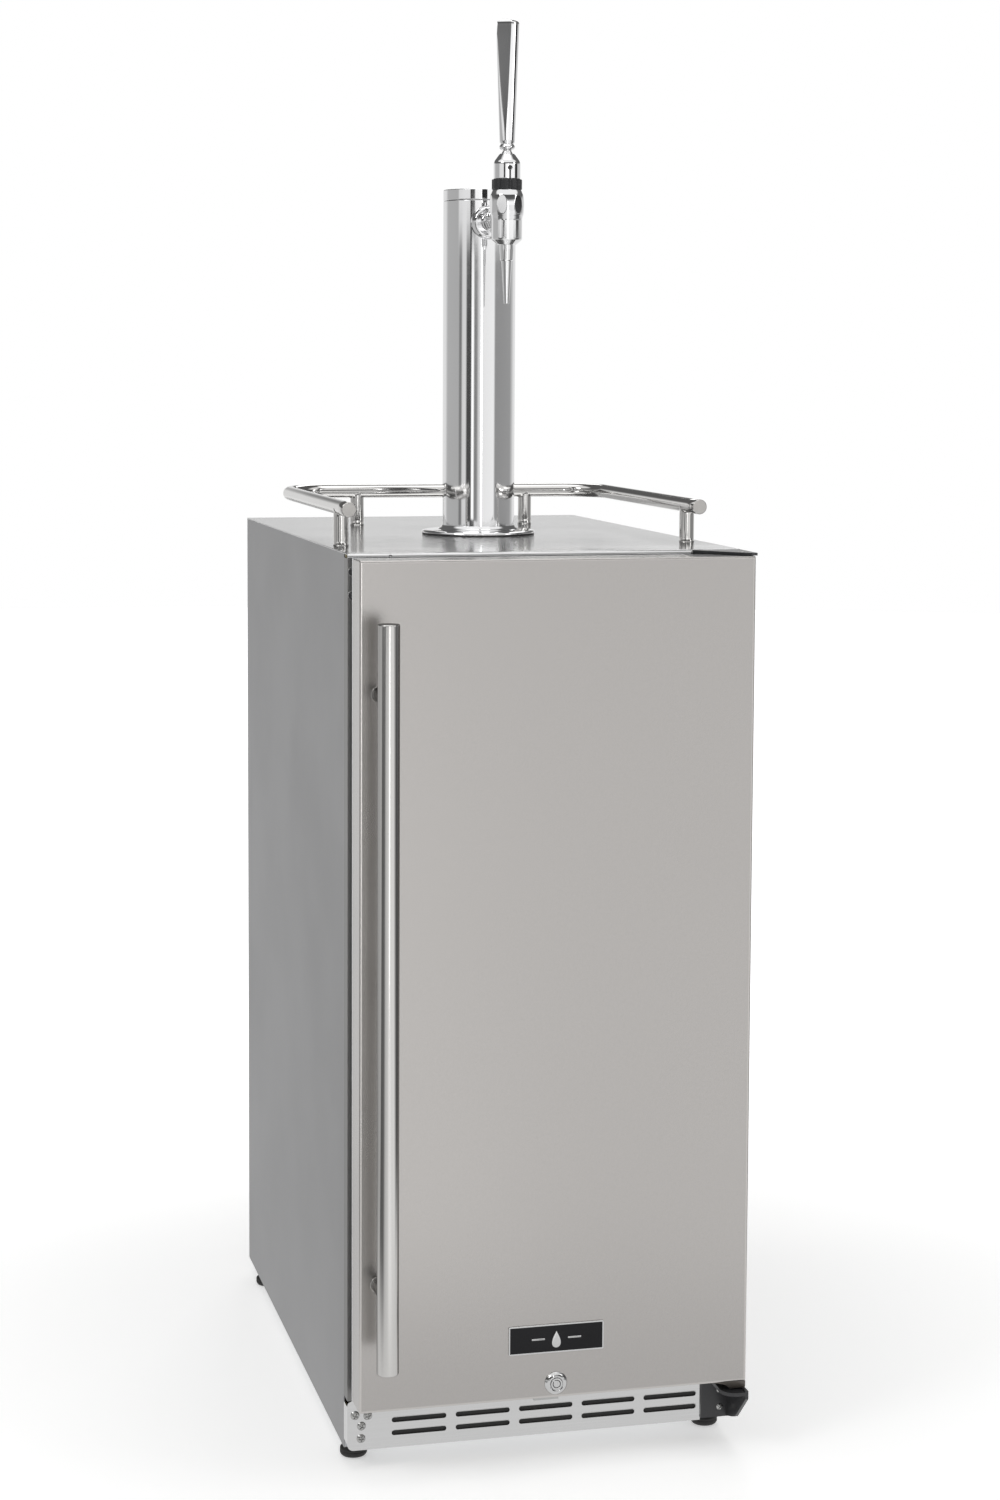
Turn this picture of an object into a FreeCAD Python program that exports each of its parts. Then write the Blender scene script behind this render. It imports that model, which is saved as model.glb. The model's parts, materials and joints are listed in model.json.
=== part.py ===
# A narrow undercounter kegerator: insulated cabinet with a single-tap tower,
# a guard rail and a right-hinged door. Millimetres, +Z up, front faces -Y.
# The origin is on the floor, under the middle of the whole object.
import FreeCAD, Part
import math
import os

Vector = FreeCAD.Vector
X_AXIS = Vector(1, 0, 0)
Y_AXIS = Vector(0, 1, 0)
Z_AXIS = Vector(0, 0, 1)

# ---- cabinet ----
cabinet_width = 378.0
cabinet_height = 864.0
side_depth = 578.8
sheet = 1.0
top_sheet = 1.2
frame_reach = 17.4
lip_height = 4.6
lip_bend = 1.6
wall_thickness = 38.0
back_wall = 42.0
liner_sheet = 1.5
side_bottom = 16.0
frame_bottom = 67.0
opening_bottom = 118.0
opening_drop = 45.0
hump_depth = 196.0
hump_height = 182.0
floor_insulation = 46.0
plug_diameter = 7.5
plug_inset = 4.6
plug_drops = (16.5, 38.6)

# ---- kick grille ----
grille_bottom = 18.6
grille_right_gap = 30.8
grille_corner = 6.0
slot_columns = 5
slot_rows = 3
slot_width = 53.4
slot_height = 5.3
slot_pitch_x = 61.9
slot_pitch_z = 12.5
slot_first_inset = 68.9
slot_first_z = 14.2
grille_screw_diameter = 8.6
grille_screw_spots = ((7.3, 34.1), (19.5, 33.0), (13.5, 23.4), (13.1, 11.3))

# ---- door ----
gasket_gap = 13.6
door_thickness = 36.0
door_side_inset = 1.5
door_top_drop = 3.3
door_bottom = 73.0
door_sheet = 0.8
door_liner_sheet = 2.0
gasket_outer_inset = 17.0
gasket_width = 17.0
gasket_clearance = 0.3
gasket_lower_edge = 102.0
gasket_upper_drop = 17.0

# ---- door handle ----
handle_diameter = 20.0
handle_reach = 45.0
handle_end_inset = 53.0
handle_side_inset = 19.0
standoff_diameter = 12.0
standoff_inset = 68.0
handle_screw_diameter = 5.0
handle_screw_head = 3.0

# ---- hinges ----
hinge_pin_diameter = 8.0
hinge_clearance = 0.06
hinge_side_inset = 10.5
hinge_forward = 34.6
hinge_plate = 2.5
leaf_drop = 0.3
leaf_width = 48.0
leaf_tab_height = 18.0
leaf_tip = 3.0
door_plate_length = 58.0
door_plate_sheet = 2.0
lower_arm_drop = 8.3
lower_arm_sheet = 3.5
lower_washer = 1.2
lower_plate_sheet = 6.6
bracket_width = 29.0
bracket_front_reach = 58.0
bush_wall = 3.0
hinge_pin_depth = 15.0
bracket_bottom = 21.0

# ---- lock ----
lock_height = 13.9
lock_bezel_diameter = 22.0
lock_barrel_diameter = 18.0
lock_plug_diameter = 11.0
lock_proud = 3.6
lock_clearance = 0.06
cam_length = 24.0
cam_width = 9.0
cam_sheet = 2.0

# ---- badge ----
badge_width = 92.0
badge_height = 27.5
badge_base = 43.5
badge_sheet = 1.6
badge_border = 1.6

# ---- feet ----
foot_diameter = 26.0
foot_side_inset = 13.5
foot_front_inset = 22.0
foot_rear_inset = 48.8
foot_height = 14.5
foot_stud_diameter = 8.0
foot_stud_length = 40.0
foot_clearance = 0.06

# ---- tower ----
tower_diameter = 73.5
tower_wall = 1.5
tower_setback = 259.0
tower_height = 349.0
cap_height = 11.5
flange_diameter = 116.5
flange_height = 5.0
flange_edge = 3.0
gasket_sheet = 1.0
tower_hole_diameter = 60.0
stud_circle = 92.0
stud_diameter = 5.0

# ---- guard rail ----
rail_diameter = 14.5
rail_wall = 1.2
rail_height = 36.0
rail_side_inset = 16.0
rail_front_setback = 60.0
rail_back_setback = 430.0
rail_corner = 45.0
rail_post_behind_end = 40.0
rail_back_post_x = 93.0
rail_cap_sheet = 1.2

# ---- tap ----
tap_reach = 114.0
shank_height = 314.5
nozzle_tip_height = 232.0
nozzle_step_height = 274.0
nozzle_top_height = 284.0
body_bottom_height = 289.0
body_cone_height = 294.0
bulge_bottom_height = 317.5
bulge_top_height = 346.0
collar_top_height = 359.0
bonnet_shoulder_height = 374.0
bonnet_top_height = 381.5
lever_top_height = 507.0
pivot_height = 376.0
keyhole_height = 366.5
body_diameter = 30.0
bulge_diameter = 33.7
flat_angles = (-90, -30, 30, 90)    # wrench flats round the waist, degrees from the front
collar_diameter = 29.7
bonnet_diameter = 26.0
bonnet_neck_diameter = 15.0
nozzle_top_diameter = 14.0
nozzle_step_diameter = 10.5
nozzle_tip_diameter = 5.2
nozzle_bore_diameter = 3.0
shank_diameter = 22.0
shank_bore_diameter = 6.4
shank_flange_diameter = 34.0
coupling_diameter = 29.0
plunger_diameter = 8.0
plunger_clearance = 0.06
plunger_travel = 3.6
lever_width = 23.0
lever_root_width = 12.5
lever_depth = 15.0
lever_root_depth = 11.0
lever_ball_diameter = 16.0
ball_clearance = 0.3
lever_neck_diameter = 5.8
trunnion_diameter = 4.0
trunnion_reach = 9.6
trunnion_clearance = 0.06

# ---- refrigeration ----
compressor_diameter = 128.0
compressor_height = 148.0
mount_foot_radius = 5.0
condenser_fan_diameter = 104.0
circulation_fan_diameter = 84.0
fan_shaft_diameter = 5.0
fan_clearance = 0.06
cover_depth = 64.0
cover_height = 300.0
cover_width = 236.0
cover_sheet = 2.0
cover_rounding = 10.0

# ---- controls ----
control_width = 150.0
control_depth = 62.0
control_height = 24.0
button_diameter = 11.0
button_clearance = 0.25
button_spacing = 20.0

# ---- planes and places worked out from the sizes above ----
half_width = cabinet_width / 2
front_overhang = frame_reach + gasket_gap + door_thickness + handle_reach + handle_diameter / 2
back_y = (side_depth + front_overhang) / 2
side_front_y = back_y - side_depth
frame_front_y = side_front_y - frame_reach
door_back_y = frame_front_y - gasket_gap
door_front_y = door_back_y - door_thickness
handle_y = door_front_y - handle_reach
top_z = cabinet_height
lip_bottom_z = top_z - lip_height
door_top_z = top_z - door_top_drop
door_half_width = half_width - door_side_inset
opening_half_width = half_width - wall_thickness
opening_top_z = top_z - opening_drop
liner_back_y = back_y - back_wall
liner_front_y = frame_front_y + top_sheet
hump_front_y = liner_back_y + back_wall - hump_depth - wall_thickness / 2
hump_top_z = opening_bottom + hump_height
machine_front_y = hump_front_y + wall_thickness
machine_top_z = hump_top_z - wall_thickness
machine_floor_z = side_bottom + top_sheet
hinge_x = half_width - hinge_side_inset
hinge_y = frame_front_y - hinge_forward
lower_arm_z = door_bottom - lower_arm_drop
tower_y = side_front_y + tower_setback
tap_y = tower_y - tap_reach
shank_z = top_z + shank_height
pivot_z = top_z + pivot_height
lock_z = door_bottom + lock_height
rail_x = half_width - rail_side_inset
rail_z = top_z + rail_height
rail_front_y = side_front_y + rail_front_setback
rail_back_y = side_front_y + rail_back_setback


# ---- general helpers ----
def block(x_range, y_range, z_range):
    """A box from its lowest and highest x, y and z."""
    size = (x_range[1] - x_range[0], y_range[1] - y_range[0], z_range[1] - z_range[0])
    return Part.makeBox(size[0], size[1], size[2], Vector(x_range[0], y_range[0], z_range[0]))


def rod(start, axis, radius, length):
    """A cylinder that starts at a point and runs along an axis."""
    return Part.makeCylinder(radius, length, Vector(*start), axis)


def ring(start, axis, outer_radius, inner_radius, length):
    """A tube that starts at a point and runs along an axis."""
    return rod(start, axis, outer_radius, length).cut(rod(start, axis, inner_radius, length))


def turned(profile, centre):
    """A solid of revolution about +Z from (radius, height) points, moved to a centre."""
    points = [Vector(radius, 0, height) for radius, height in profile]
    face = Part.Face(Part.makePolygon(points + [points[0]]))
    solid = face.revolve(Vector(0, 0, 0), Z_AXIS, 360)
    solid.translate(Vector(*centre))
    return solid


def side_plate(outline, x_start, width):
    """A plate whose outline is (y, z) points, extruded along +X."""
    points = [Vector(x_start, y, z) for y, z in outline]
    return Part.Face(Part.makePolygon(points + [points[0]])).extrude(Vector(width, 0, 0))


def flat_plate(outline, z_start, height):
    """A plate whose outline is (x, y) points, extruded along +Z."""
    points = [Vector(x, y, z_start) for x, y in outline]
    return Part.Face(Part.makePolygon(points + [points[0]])).extrude(Vector(0, 0, height))


def slot_cutter(centre, width, height, y_range):
    """A round-ended slot, wide along X, cut through along Y."""
    radius = height / 2
    x, z = centre
    depth = y_range[1] - y_range[0]
    reach = width / 2 - radius
    cutter = block((x - reach, x + reach), y_range, (z - radius, z + radius))
    for end in (-reach, reach):
        cutter = cutter.fuse(rod((x + end, y_range[0], z), Y_AXIS, radius, depth))
    return cutter.removeSplitter()


def fuse_all(shapes):
    """One solid from shapes that meet."""
    return shapes[0].fuse(shapes[1:]).removeSplitter()


def cut_all(shape, cutters):
    """A shape with every cutter taken out of it."""
    return shape.cut(cutters)


def fillet_where(shape, radius, wanted):
    """Round the edges for which wanted(edge) holds."""
    edges = [edge for edge in shape.Edges if wanted(edge)]
    return shape.makeFillet(radius, edges)


def along(edge, axis):
    """Whether an edge is a straight line along an axis."""
    if edge.Curve.TypeId != "Part::GeomLine":
        return False
    return abs(abs(edge.tangentAt(edge.FirstParameter).dot(axis)) - 1) < 1e-6


nodes = {}


def keep(name, *solids):
    """Keep one node's solids under its name."""
    nodes[name] = solids


# ---- cabinet shell ----
def side_panel(side):
    """A flat side sheet with a front and a bottom fold turned inwards."""
    fold = 6.0
    outer = side * half_width
    inner = side * (half_width - sheet)
    fold_end = side * (half_width - sheet - fold)
    x_range = (min(outer, inner), max(outer, inner))
    fold_range = (min(inner, fold_end), max(inner, fold_end))
    z_range = (side_bottom, top_z - top_sheet)
    panel = block(x_range, (side_front_y, back_y), z_range)
    bottom_fold = block(fold_range, (side_front_y, back_y), (side_bottom, side_bottom + sheet))
    return fuse_all([panel, bottom_fold])


def top_panel():
    """The top sheet, its rounded front lip, and holes for the tower and the rail posts."""
    sheet_box = block((-half_width, half_width), (frame_front_y, back_y), (top_z - top_sheet, top_z))
    lip_y = (frame_front_y, frame_front_y + top_sheet)
    lip = block((-half_width, half_width), lip_y, (lip_bottom_z, top_z))
    panel = fuse_all([sheet_box, lip])
    panel = fillet_where(
        panel,
        lip_bend,
        lambda edge: along(edge, X_AXIS)
        and edge.CenterOfMass.y < frame_front_y + 0.01
        and edge.CenterOfMass.z > top_z - 0.01,
    )
    drill_start = top_z - 2 * top_sheet
    holes = [rod((0, tower_y, drill_start), Z_AXIS, tower_hole_diameter / 2, 4 * top_sheet)]
    holes += [
        rod((x, y, drill_start), Z_AXIS, stud_diameter / 2, 4 * top_sheet)
        for x, y in tower_stud_spots()
    ]
    holes += [
        rod((x, y, drill_start), Z_AXIS, stud_diameter / 2, 4 * top_sheet)
        for x, y in rail_post_spots()
    ]
    return cut_all(panel, holes)


def front_frame():
    """The steel frame round the opening: a face, and a return back to the side panels."""
    z_range = (frame_bottom, lip_bottom_z)
    outer = block((-half_width, half_width), (frame_front_y, side_front_y), z_range)
    hollow = block(
        (-half_width + top_sheet, half_width - top_sheet),
        (frame_front_y + top_sheet, side_front_y),
        (frame_bottom, lip_bottom_z),
    )
    opening = block(
        (-opening_half_width, opening_half_width),
        (frame_front_y, side_front_y),
        (opening_bottom, opening_top_z),
    )
    holes = [rod((-half_width + plug_inset, frame_front_y, top_z - drop), Y_AXIS, 1.5, top_sheet)
             for drop in plug_drops]
    return cut_all(outer, [hollow, opening] + holes)


def hole_plugs():
    """Domed plugs in the spare hinge holes at the frame's upper left."""
    plugs = []
    for drop in plug_drops:
        centre = Vector(-half_width + plug_inset, frame_front_y, top_z - drop)
        radius = plug_diameter / 2
        height = 1.8
        sphere_radius = (radius ** 2 + height ** 2) / (2 * height)
        dome = Part.makeSphere(sphere_radius, centre + Vector(0, sphere_radius - height, 0))
        half_space = block(
            (centre.x - 10, centre.x + 10), (centre.y - 10, centre.y), (centre.z - 10, centre.z + 10)
        )
        plugs.append(dome.common(half_space))
    return plugs


def liner_outer():
    """The outside of the inner liner: the cooled space with a step over the compressor."""
    tall = block(
        (-opening_half_width, opening_half_width),
        (liner_front_y, liner_back_y),
        (opening_bottom - liner_sheet, opening_top_z),
    )
    hump = block(
        (-opening_half_width, opening_half_width),
        (hump_front_y, liner_back_y),
        (opening_bottom - liner_sheet, hump_top_z - liner_sheet),
    )
    return tall.cut(hump)


def liner_inner():
    """The space inside the liner."""
    inner_half = opening_half_width - liner_sheet
    tall = block(
        (-inner_half, inner_half),
        (liner_front_y, liner_back_y - liner_sheet),
        (opening_bottom, opening_top_z - liner_sheet),
    )
    hump = block(
        (-inner_half, inner_half),
        (hump_front_y - liner_sheet, liner_back_y - liner_sheet),
        (opening_bottom, hump_top_z),
    )
    return tall.cut(hump)


def inner_liner():
    """The plastic tub with its tower opening and gas-line hole."""
    shell = liner_outer().cut(liner_inner())
    tower_hole = rod(
        (0, tower_y, opening_top_z - 3 * liner_sheet), Z_AXIS, tower_hole_diameter / 2, 6 * liner_sheet
    )
    return cut_all(shell, [tower_hole, gas_hole()])


def insulation():
    """The foam between the liner and the outer sheets, with the compressor bay left out."""
    block_top = top_z - top_sheet
    body = block(
        (-half_width + sheet, half_width - sheet),
        (side_front_y, back_y - sheet),
        (opening_bottom - floor_insulation, block_top),
    )
    bay = block(
        (-half_width + sheet, half_width - sheet),
        (machine_front_y, back_y - sheet),
        (opening_bottom - floor_insulation, machine_top_z),
    )
    tower_hole = rod((0, tower_y, opening_top_z - 10), Z_AXIS, tower_hole_diameter / 2, opening_drop + 20)
    nut_room = [
        rod((x, y, block_top - 12), Z_AXIS, 8.0, 12)
        for x, y in tower_stud_spots() + rail_post_spots()
    ]
    return cut_all(body, [bay, liner_outer(), tower_hole, gas_hole(), power_room()] + nut_room)


def power_room():
    """Room kept clear of foam round the lamp and control leads."""
    return rod((-60, side_front_y + 60, opening_top_z - 1), Z_AXIS, 7, 20)


def back_panel():
    """The rear sheet above the compressor bay, with the gas-line hole."""
    panel = block(
        (-half_width + sheet, half_width - sheet),
        (back_y - sheet, back_y),
        (machine_top_z, top_z - top_sheet),
    )
    return panel.cut(gas_hole())


def rear_cover():
    """The louvred cover over the compressor bay, with the power inlet's opening."""
    margin = 0.5
    x_range = (-half_width + sheet + margin, half_width - sheet - margin)
    z_range = (machine_floor_z + margin, machine_top_z - margin)
    cover = block(x_range, (back_y - sheet, back_y), z_range)
    louvre_pitch = 14.0
    louvre_count = 9
    cutters = []
    for row in range(louvre_count):
        for column in (-1, 1):
            centre = (column * 82.0, machine_top_z - 30.0 - row * louvre_pitch)
            cutters.append(slot_cutter(centre, 120.0, 5.0, (back_y - 2 * sheet, back_y + sheet)))
    inlet_x, inlet_z = power_inlet_spot()
    cutters.append(
        block(
            (inlet_x - 14, inlet_x + 14),
            (back_y - 2 * sheet, back_y + sheet),
            (inlet_z - 10, inlet_z + 10),
        )
    )
    return cut_all(cover, cutters)


def power_inlet_spot():
    """Where the power inlet sits on the rear cover, as (x, z)."""
    return (half_width - 58.0, machine_floor_z + 34.0)


def power_inlet():
    """A moulded three-pin inlet socket, recessed in the rear cover."""
    x, z = power_inlet_spot()
    shell = block((x - 14, x + 14), (back_y - 22, back_y), (z - 10, z + 10))
    recess = block((x - 12, x + 12), (back_y - 17, back_y), (z - 8, z + 8))
    blades = [
        block((x + i * 7 - 1, x + i * 7 + 1), (back_y - 18, back_y - 5), (z - 3, z + 3))
        for i in (-1, 0, 1)
    ]
    return fuse_all([shell.cut(recess)] + blades)


def base_pan():
    """The folded bottom tray that carries the compressor and the feet."""
    x_range = (-half_width + sheet, half_width - sheet)
    plate = block(
        x_range, (side_front_y, back_y - sheet), (side_bottom + sheet, side_bottom + sheet + top_sheet)
    )
    front_fold = block(
        x_range, (side_front_y, side_front_y + top_sheet), (side_bottom + sheet, side_bottom + sheet + 10)
    )
    drill_z = side_bottom + sheet - 1
    foot_bore = foot_stud_diameter / 2 + foot_clearance
    holes = [rod((x, y, drill_z), Z_AXIS, foot_bore, 4) for x, y in foot_spots()]
    mount_holes = [rod((x, y, drill_z), Z_AXIS, mount_foot_radius, 4) for x, y in compressor_mount_spots()]
    return cut_all(fuse_all([plate, front_fold]), holes + mount_holes)


def foot_spots():
    """The four feet, as (x, y)."""
    x = half_width - foot_side_inset
    front = side_front_y + foot_front_inset
    rear = back_y - foot_rear_inset
    return [(-x, front), (x, front), (-x, rear), (x, rear)]


def foot_sockets():
    """Threaded inserts welded on the tray, one for each foot stud."""
    base_z = side_bottom + sheet + top_sheet
    bore = foot_stud_diameter / 2 + foot_clearance
    sockets = []
    for x, y in foot_spots():
        # the insert's outer face stays inside the side panel
        outer = min(9.0, half_width - sheet - abs(x) - 0.2)
        sockets.append(ring((x, y, base_z), Z_AXIS, outer, bore, 14))
    return sockets


def levelling_foot(x, y):
    """A black glide with a rounded edge, a hex for the spanner and a threaded stud."""
    radius = foot_diameter / 2
    profile = [
        (0, 0), (radius - 3, 0), (radius - 0.9, 0.9), (radius, 3), (radius, 7.5),
        (radius - 2, 9.5), (7.5, 10.5), (7.5, foot_height), (foot_stud_diameter / 2, foot_height),
        (foot_stud_diameter / 2, foot_height + foot_stud_length), (0, foot_height + foot_stud_length),
    ]
    return turned(profile, (x, y, 0))


# ---- kick grille ----
def kick_grille():
    """The slotted plate below the door, with a folded left return."""
    z_range = (grille_bottom, frame_bottom)
    plate = block(
        (-half_width, half_width - grille_right_gap), (frame_front_y, frame_front_y + top_sheet), z_range
    )
    plate = fillet_where(
        plate, grille_corner, lambda edge: along(edge, Y_AXIS) and edge.CenterOfMass.x < -half_width + 0.01
    )
    left_return = block(
        (-half_width, -half_width + top_sheet),
        (frame_front_y + top_sheet, side_front_y),
        (grille_bottom + grille_corner, frame_bottom - grille_corner),
    )
    cutters = []
    for column in range(slot_columns):
        for row in range(slot_rows):
            x = -half_width + slot_first_inset + column * slot_pitch_x
            z = grille_bottom + slot_first_z + row * slot_pitch_z
            cutters.append(
                slot_cutter((x, z), slot_width, slot_height, (frame_front_y - 1, frame_front_y + 3))
            )
    return cut_all(fuse_all([plate, left_return]), cutters)


def pan_head_screw(centre, diameter):
    """A domed screw head with a cross recess, facing -Y."""
    x, y, z = centre
    radius = diameter / 2
    height = diameter * 0.3
    sphere_radius = (radius ** 2 + height ** 2) / (2 * height)
    dome = Part.makeSphere(sphere_radius, Vector(x, y + sphere_radius - height, z))
    head = dome.common(block((x - radius, x + radius), (y - height, y), (z - radius, z + radius)))
    arm = radius * 0.55
    blade = radius * 0.14
    recess = block((x - arm, x + arm), (y - height, y - height * 0.35), (z - blade, z + blade))
    recess = recess.fuse(block((x - blade, x + blade), (y - height, y - height * 0.35), (z - arm, z + arm)))
    return head.cut(recess)


def grille_screws():
    """The four pan-head screws at the plate's left end."""
    spots = [(-half_width + inset, grille_bottom + rise) for inset, rise in grille_screw_spots]
    return [pan_head_screw((x, frame_front_y, z), grille_screw_diameter) for x, z in spots]


# ---- door ----
def door_skin():
    """The steel wrap: front face and four returns, with the hinge, lock and handle holes."""
    half = door_half_width
    outer = block((-half, half), (door_front_y, door_back_y - door_liner_sheet), (door_bottom, door_top_z))
    outer = fillet_where(outer, 1.2, lambda edge: edge.CenterOfMass.y < door_front_y + 0.01)
    inner = block(
        (-half + door_sheet, half - door_sheet),
        (door_front_y + door_sheet, door_back_y),
        (door_bottom + door_sheet, door_top_z - door_sheet),
    )
    top_cut = door_top_plate_block(door_top_z - 2 * door_plate_sheet, door_top_z + 1)
    pin_cut = rod((hinge_x, hinge_y, door_bottom - 1), Z_AXIS, hinge_pin_diameter / 2 + bush_wall, 4)
    return cut_all(outer, [inner, top_cut, pin_cut, lock_hole()] + handle_screw_holes())


def door_top_plate_block(low_z, high_z):
    """The outline of the black hinge plate set in the door's top edge."""
    margin = 1.6
    x_range = (door_half_width - margin - door_plate_length, door_half_width - margin)
    return block(x_range, (door_front_y + margin, door_back_y - door_liner_sheet - margin), (low_z, high_z))


def bush_start_z(end):
    """The lowest height of the top (+1) or bottom (-1) hinge bush."""
    return door_top_z - door_plate_sheet - hinge_pin_depth if end > 0 else door_bottom + door_sheet


def bush_room(end):
    """The space that a hinge bush takes in the door."""
    return rod(
        (hinge_x, hinge_y, bush_start_z(end)), Z_AXIS, hinge_pin_diameter / 2 + bush_wall, hinge_pin_depth
    )


def hinge_bushes():
    """Nylon bushes in the door's top and bottom for the hinge pins."""
    bore = hinge_pin_diameter / 2 + hinge_clearance
    outer = hinge_pin_diameter / 2 + bush_wall
    return [
        ring((hinge_x, hinge_y, bush_start_z(end)), Z_AXIS, outer, bore, hinge_pin_depth)
        for end in (1, -1)
    ]


def door_foam():
    """The foam core of the door."""
    half = door_half_width - door_sheet
    core = block(
        (-half, half),
        (door_front_y + door_sheet, door_back_y - door_liner_sheet),
        (door_bottom + door_sheet, door_top_z - door_sheet),
    )
    top_cut = door_top_plate_block(door_top_z - door_plate_sheet, door_top_z)
    return cut_all(core, [top_cut, bush_room(1), bush_room(-1), lock_hole()] + handle_screw_holes())


def door_liner():
    """The inner door panel, with a raised pad that reaches into the opening."""
    half = door_half_width
    y_range = (door_back_y - door_liner_sheet, door_back_y)
    panel = block((-half, half), y_range, (door_bottom, door_top_z))
    pad_gap = 8.0
    pad_half = opening_half_width - pad_gap
    pad_depth = gasket_gap - 1.0
    pad = block(
        (-pad_half, pad_half),
        (door_back_y, door_back_y + pad_depth),
        (opening_bottom + pad_gap, opening_top_z - pad_gap),
    )
    pad = fillet_where(pad, 6.0, lambda edge: along(edge, Y_AXIS))
    pad = fillet_where(pad, 3.0, lambda edge: edge.CenterOfMass.y > door_back_y + pad_depth - 0.01)
    return fuse_all([panel, pad]).cut(lock_hole())


def door_gasket():
    """The magnetic seal round the opening, a hair off the frame's face."""
    outer_half = half_width - gasket_outer_inset
    inner_half = outer_half - gasket_width
    z_low = gasket_lower_edge
    z_high = door_top_z - gasket_upper_drop
    y_range = (door_back_y, frame_front_y - gasket_clearance)
    outer = block((-outer_half, outer_half), y_range, (z_low, z_high))
    inner_z = (z_low + gasket_width, z_high - gasket_width)
    inner = block((-inner_half, inner_half), y_range, inner_z)
    seal = outer.cut(inner)
    groove_depth = 4.0
    groove_in = 3.0
    groove_y = (
        door_back_y + gasket_gap / 2 - groove_depth / 2, door_back_y + gasket_gap / 2 + groove_depth / 2
    )
    groove_outer = outer_half - groove_in
    belt = block((-outer_half, outer_half), groove_y, (z_low, z_high))
    core = block((-groove_outer, groove_outer), groove_y, (z_low + groove_in, z_high - groove_in))
    return seal.cut(belt.cut(core))


def door_hinge_plate_top():
    """The black plate in the door's top edge that the upper pin passes."""
    plate = door_top_plate_block(door_top_z - door_plate_sheet, door_top_z)
    return plate.cut(rod((hinge_x, hinge_y, door_top_z - 5), Z_AXIS, hinge_pin_diameter / 2 + 0.6, 10))


def door_hinge_plate_bottom():
    """The steel foot plate under the door's lower corner, curved up on its inner side."""
    right = door_half_width
    reach = 36.0
    curve = 20.0
    y_low = door_front_y + 1.0
    y_high = door_back_y - door_liner_sheet
    corners = [
        Vector(right, y_low, door_bottom), Vector(right, y_low, door_bottom - lower_plate_sheet),
        Vector(right - reach + curve, y_low, door_bottom - lower_plate_sheet),
        Vector(right - reach, y_low, door_bottom),
    ]
    middle = Vector(right - reach + curve * 0.62, y_low, door_bottom - lower_plate_sheet * 0.72)
    edges = [
        Part.LineSegment(corners[0], corners[1]).toShape(),
        Part.LineSegment(corners[1], corners[2]).toShape(),
        Part.Arc(corners[2], middle, corners[3]).toShape(),
        Part.LineSegment(corners[3], corners[0]).toShape(),
    ]
    plate = Part.Face(Part.Wire(edges)).extrude(Vector(0, y_high - y_low, 0))
    bore = rod((hinge_x, hinge_y, door_bottom - 10), Z_AXIS, hinge_pin_diameter / 2 + 0.6, 12)
    return plate.cut(bore)


def handle_screw_holes():
    """Clear holes through the door for the two handle screws."""
    x = handle_x()
    radius = handle_screw_diameter / 2
    head_y = door_back_y - door_liner_sheet - handle_screw_head
    shafts = [rod((x, door_front_y - 1, z), Y_AXIS, radius, door_thickness) for z in standoff_heights()]
    heads = [rod((x, head_y, z), Y_AXIS, radius * 2, handle_screw_head) for z in standoff_heights()]
    return shafts + heads


def handle_x():
    """The bar handle's distance from the cabinet's centre, on the left."""
    return -half_width + handle_side_inset


def handle_ends():
    """The lowest and highest points of the bar handle."""
    return (door_bottom + handle_end_inset, door_top_z - handle_end_inset)


def standoff_heights():
    """The heights of the handle's two standoffs."""
    low, high = handle_ends()
    return (low + standoff_inset, high - standoff_inset)


def bar_handle():
    """The round bar, its ends chamfered a little."""
    low, high = handle_ends()
    bar = rod((handle_x(), handle_y, low), Z_AXIS, handle_diameter / 2, high - low)
    bar = bar.makeChamfer(0.7, [edge for edge in bar.Edges if edge.Curve.TypeId == "Part::GeomCircle"])
    depth = handle_diameter / 2 - 2.0
    holes = [
        rod((handle_x(), handle_y, z), Y_AXIS, handle_screw_diameter / 2, depth + 4)
        for z in standoff_heights()
    ]
    return cut_all(bar, holes)


def handle_standoffs():
    """The two round posts between the bar and the door, saddled to the bar."""
    posts = []
    saddle = rod((handle_x(), handle_y, 0), Z_AXIS, handle_diameter / 2, top_z)
    for z in standoff_heights():
        post = rod((handle_x(), handle_y, z), Y_AXIS, standoff_diameter / 2, door_front_y - handle_y)
        bore = rod((handle_x(), handle_y, z), Y_AXIS, handle_screw_diameter / 2, handle_reach)
        posts.append(post.cut(saddle).cut(bore))
    return posts


def handle_screws():
    """The two screws that hold the handle, their heads under the door's inner panel."""
    radius = handle_screw_diameter / 2
    screws = []
    head_y = door_back_y - door_liner_sheet - handle_screw_head
    for z in standoff_heights():
        shaft = rod((handle_x(), handle_y, z), Y_AXIS, radius, head_y - handle_y)
        head = rod((handle_x(), head_y, z), Y_AXIS, radius * 2, handle_screw_head)
        screws.append(shaft.fuse(head).removeSplitter())
    return screws


def badge_spot():
    """The badge's lowest and highest heights on the door."""
    return (door_bottom + badge_base, door_bottom + badge_base + badge_height)


def badge_plate():
    """The plain dark plate inside the badge's border."""
    low, high = badge_spot()
    half = badge_width / 2 - badge_border
    y_range = (door_front_y - badge_sheet + 0.5, door_front_y)
    return block((-half, half), y_range, (low + badge_border, high - badge_border))


def badge_frame():
    """The bright border round the badge."""
    low, high = badge_spot()
    half = badge_width / 2
    y_range = (door_front_y - badge_sheet, door_front_y)
    outer = block((-half, half), y_range, (low, high))
    inner = block(
        (-half + badge_border, half - badge_border), y_range, (low + badge_border, high - badge_border)
    )
    return outer.cut(inner)


# ---- lock ----
def lock_hole():
    """The hole through the door for the lock barrel."""
    return rod((0, door_front_y - 1, lock_z), Y_AXIS, lock_barrel_diameter / 2, door_thickness + 2)


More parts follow.
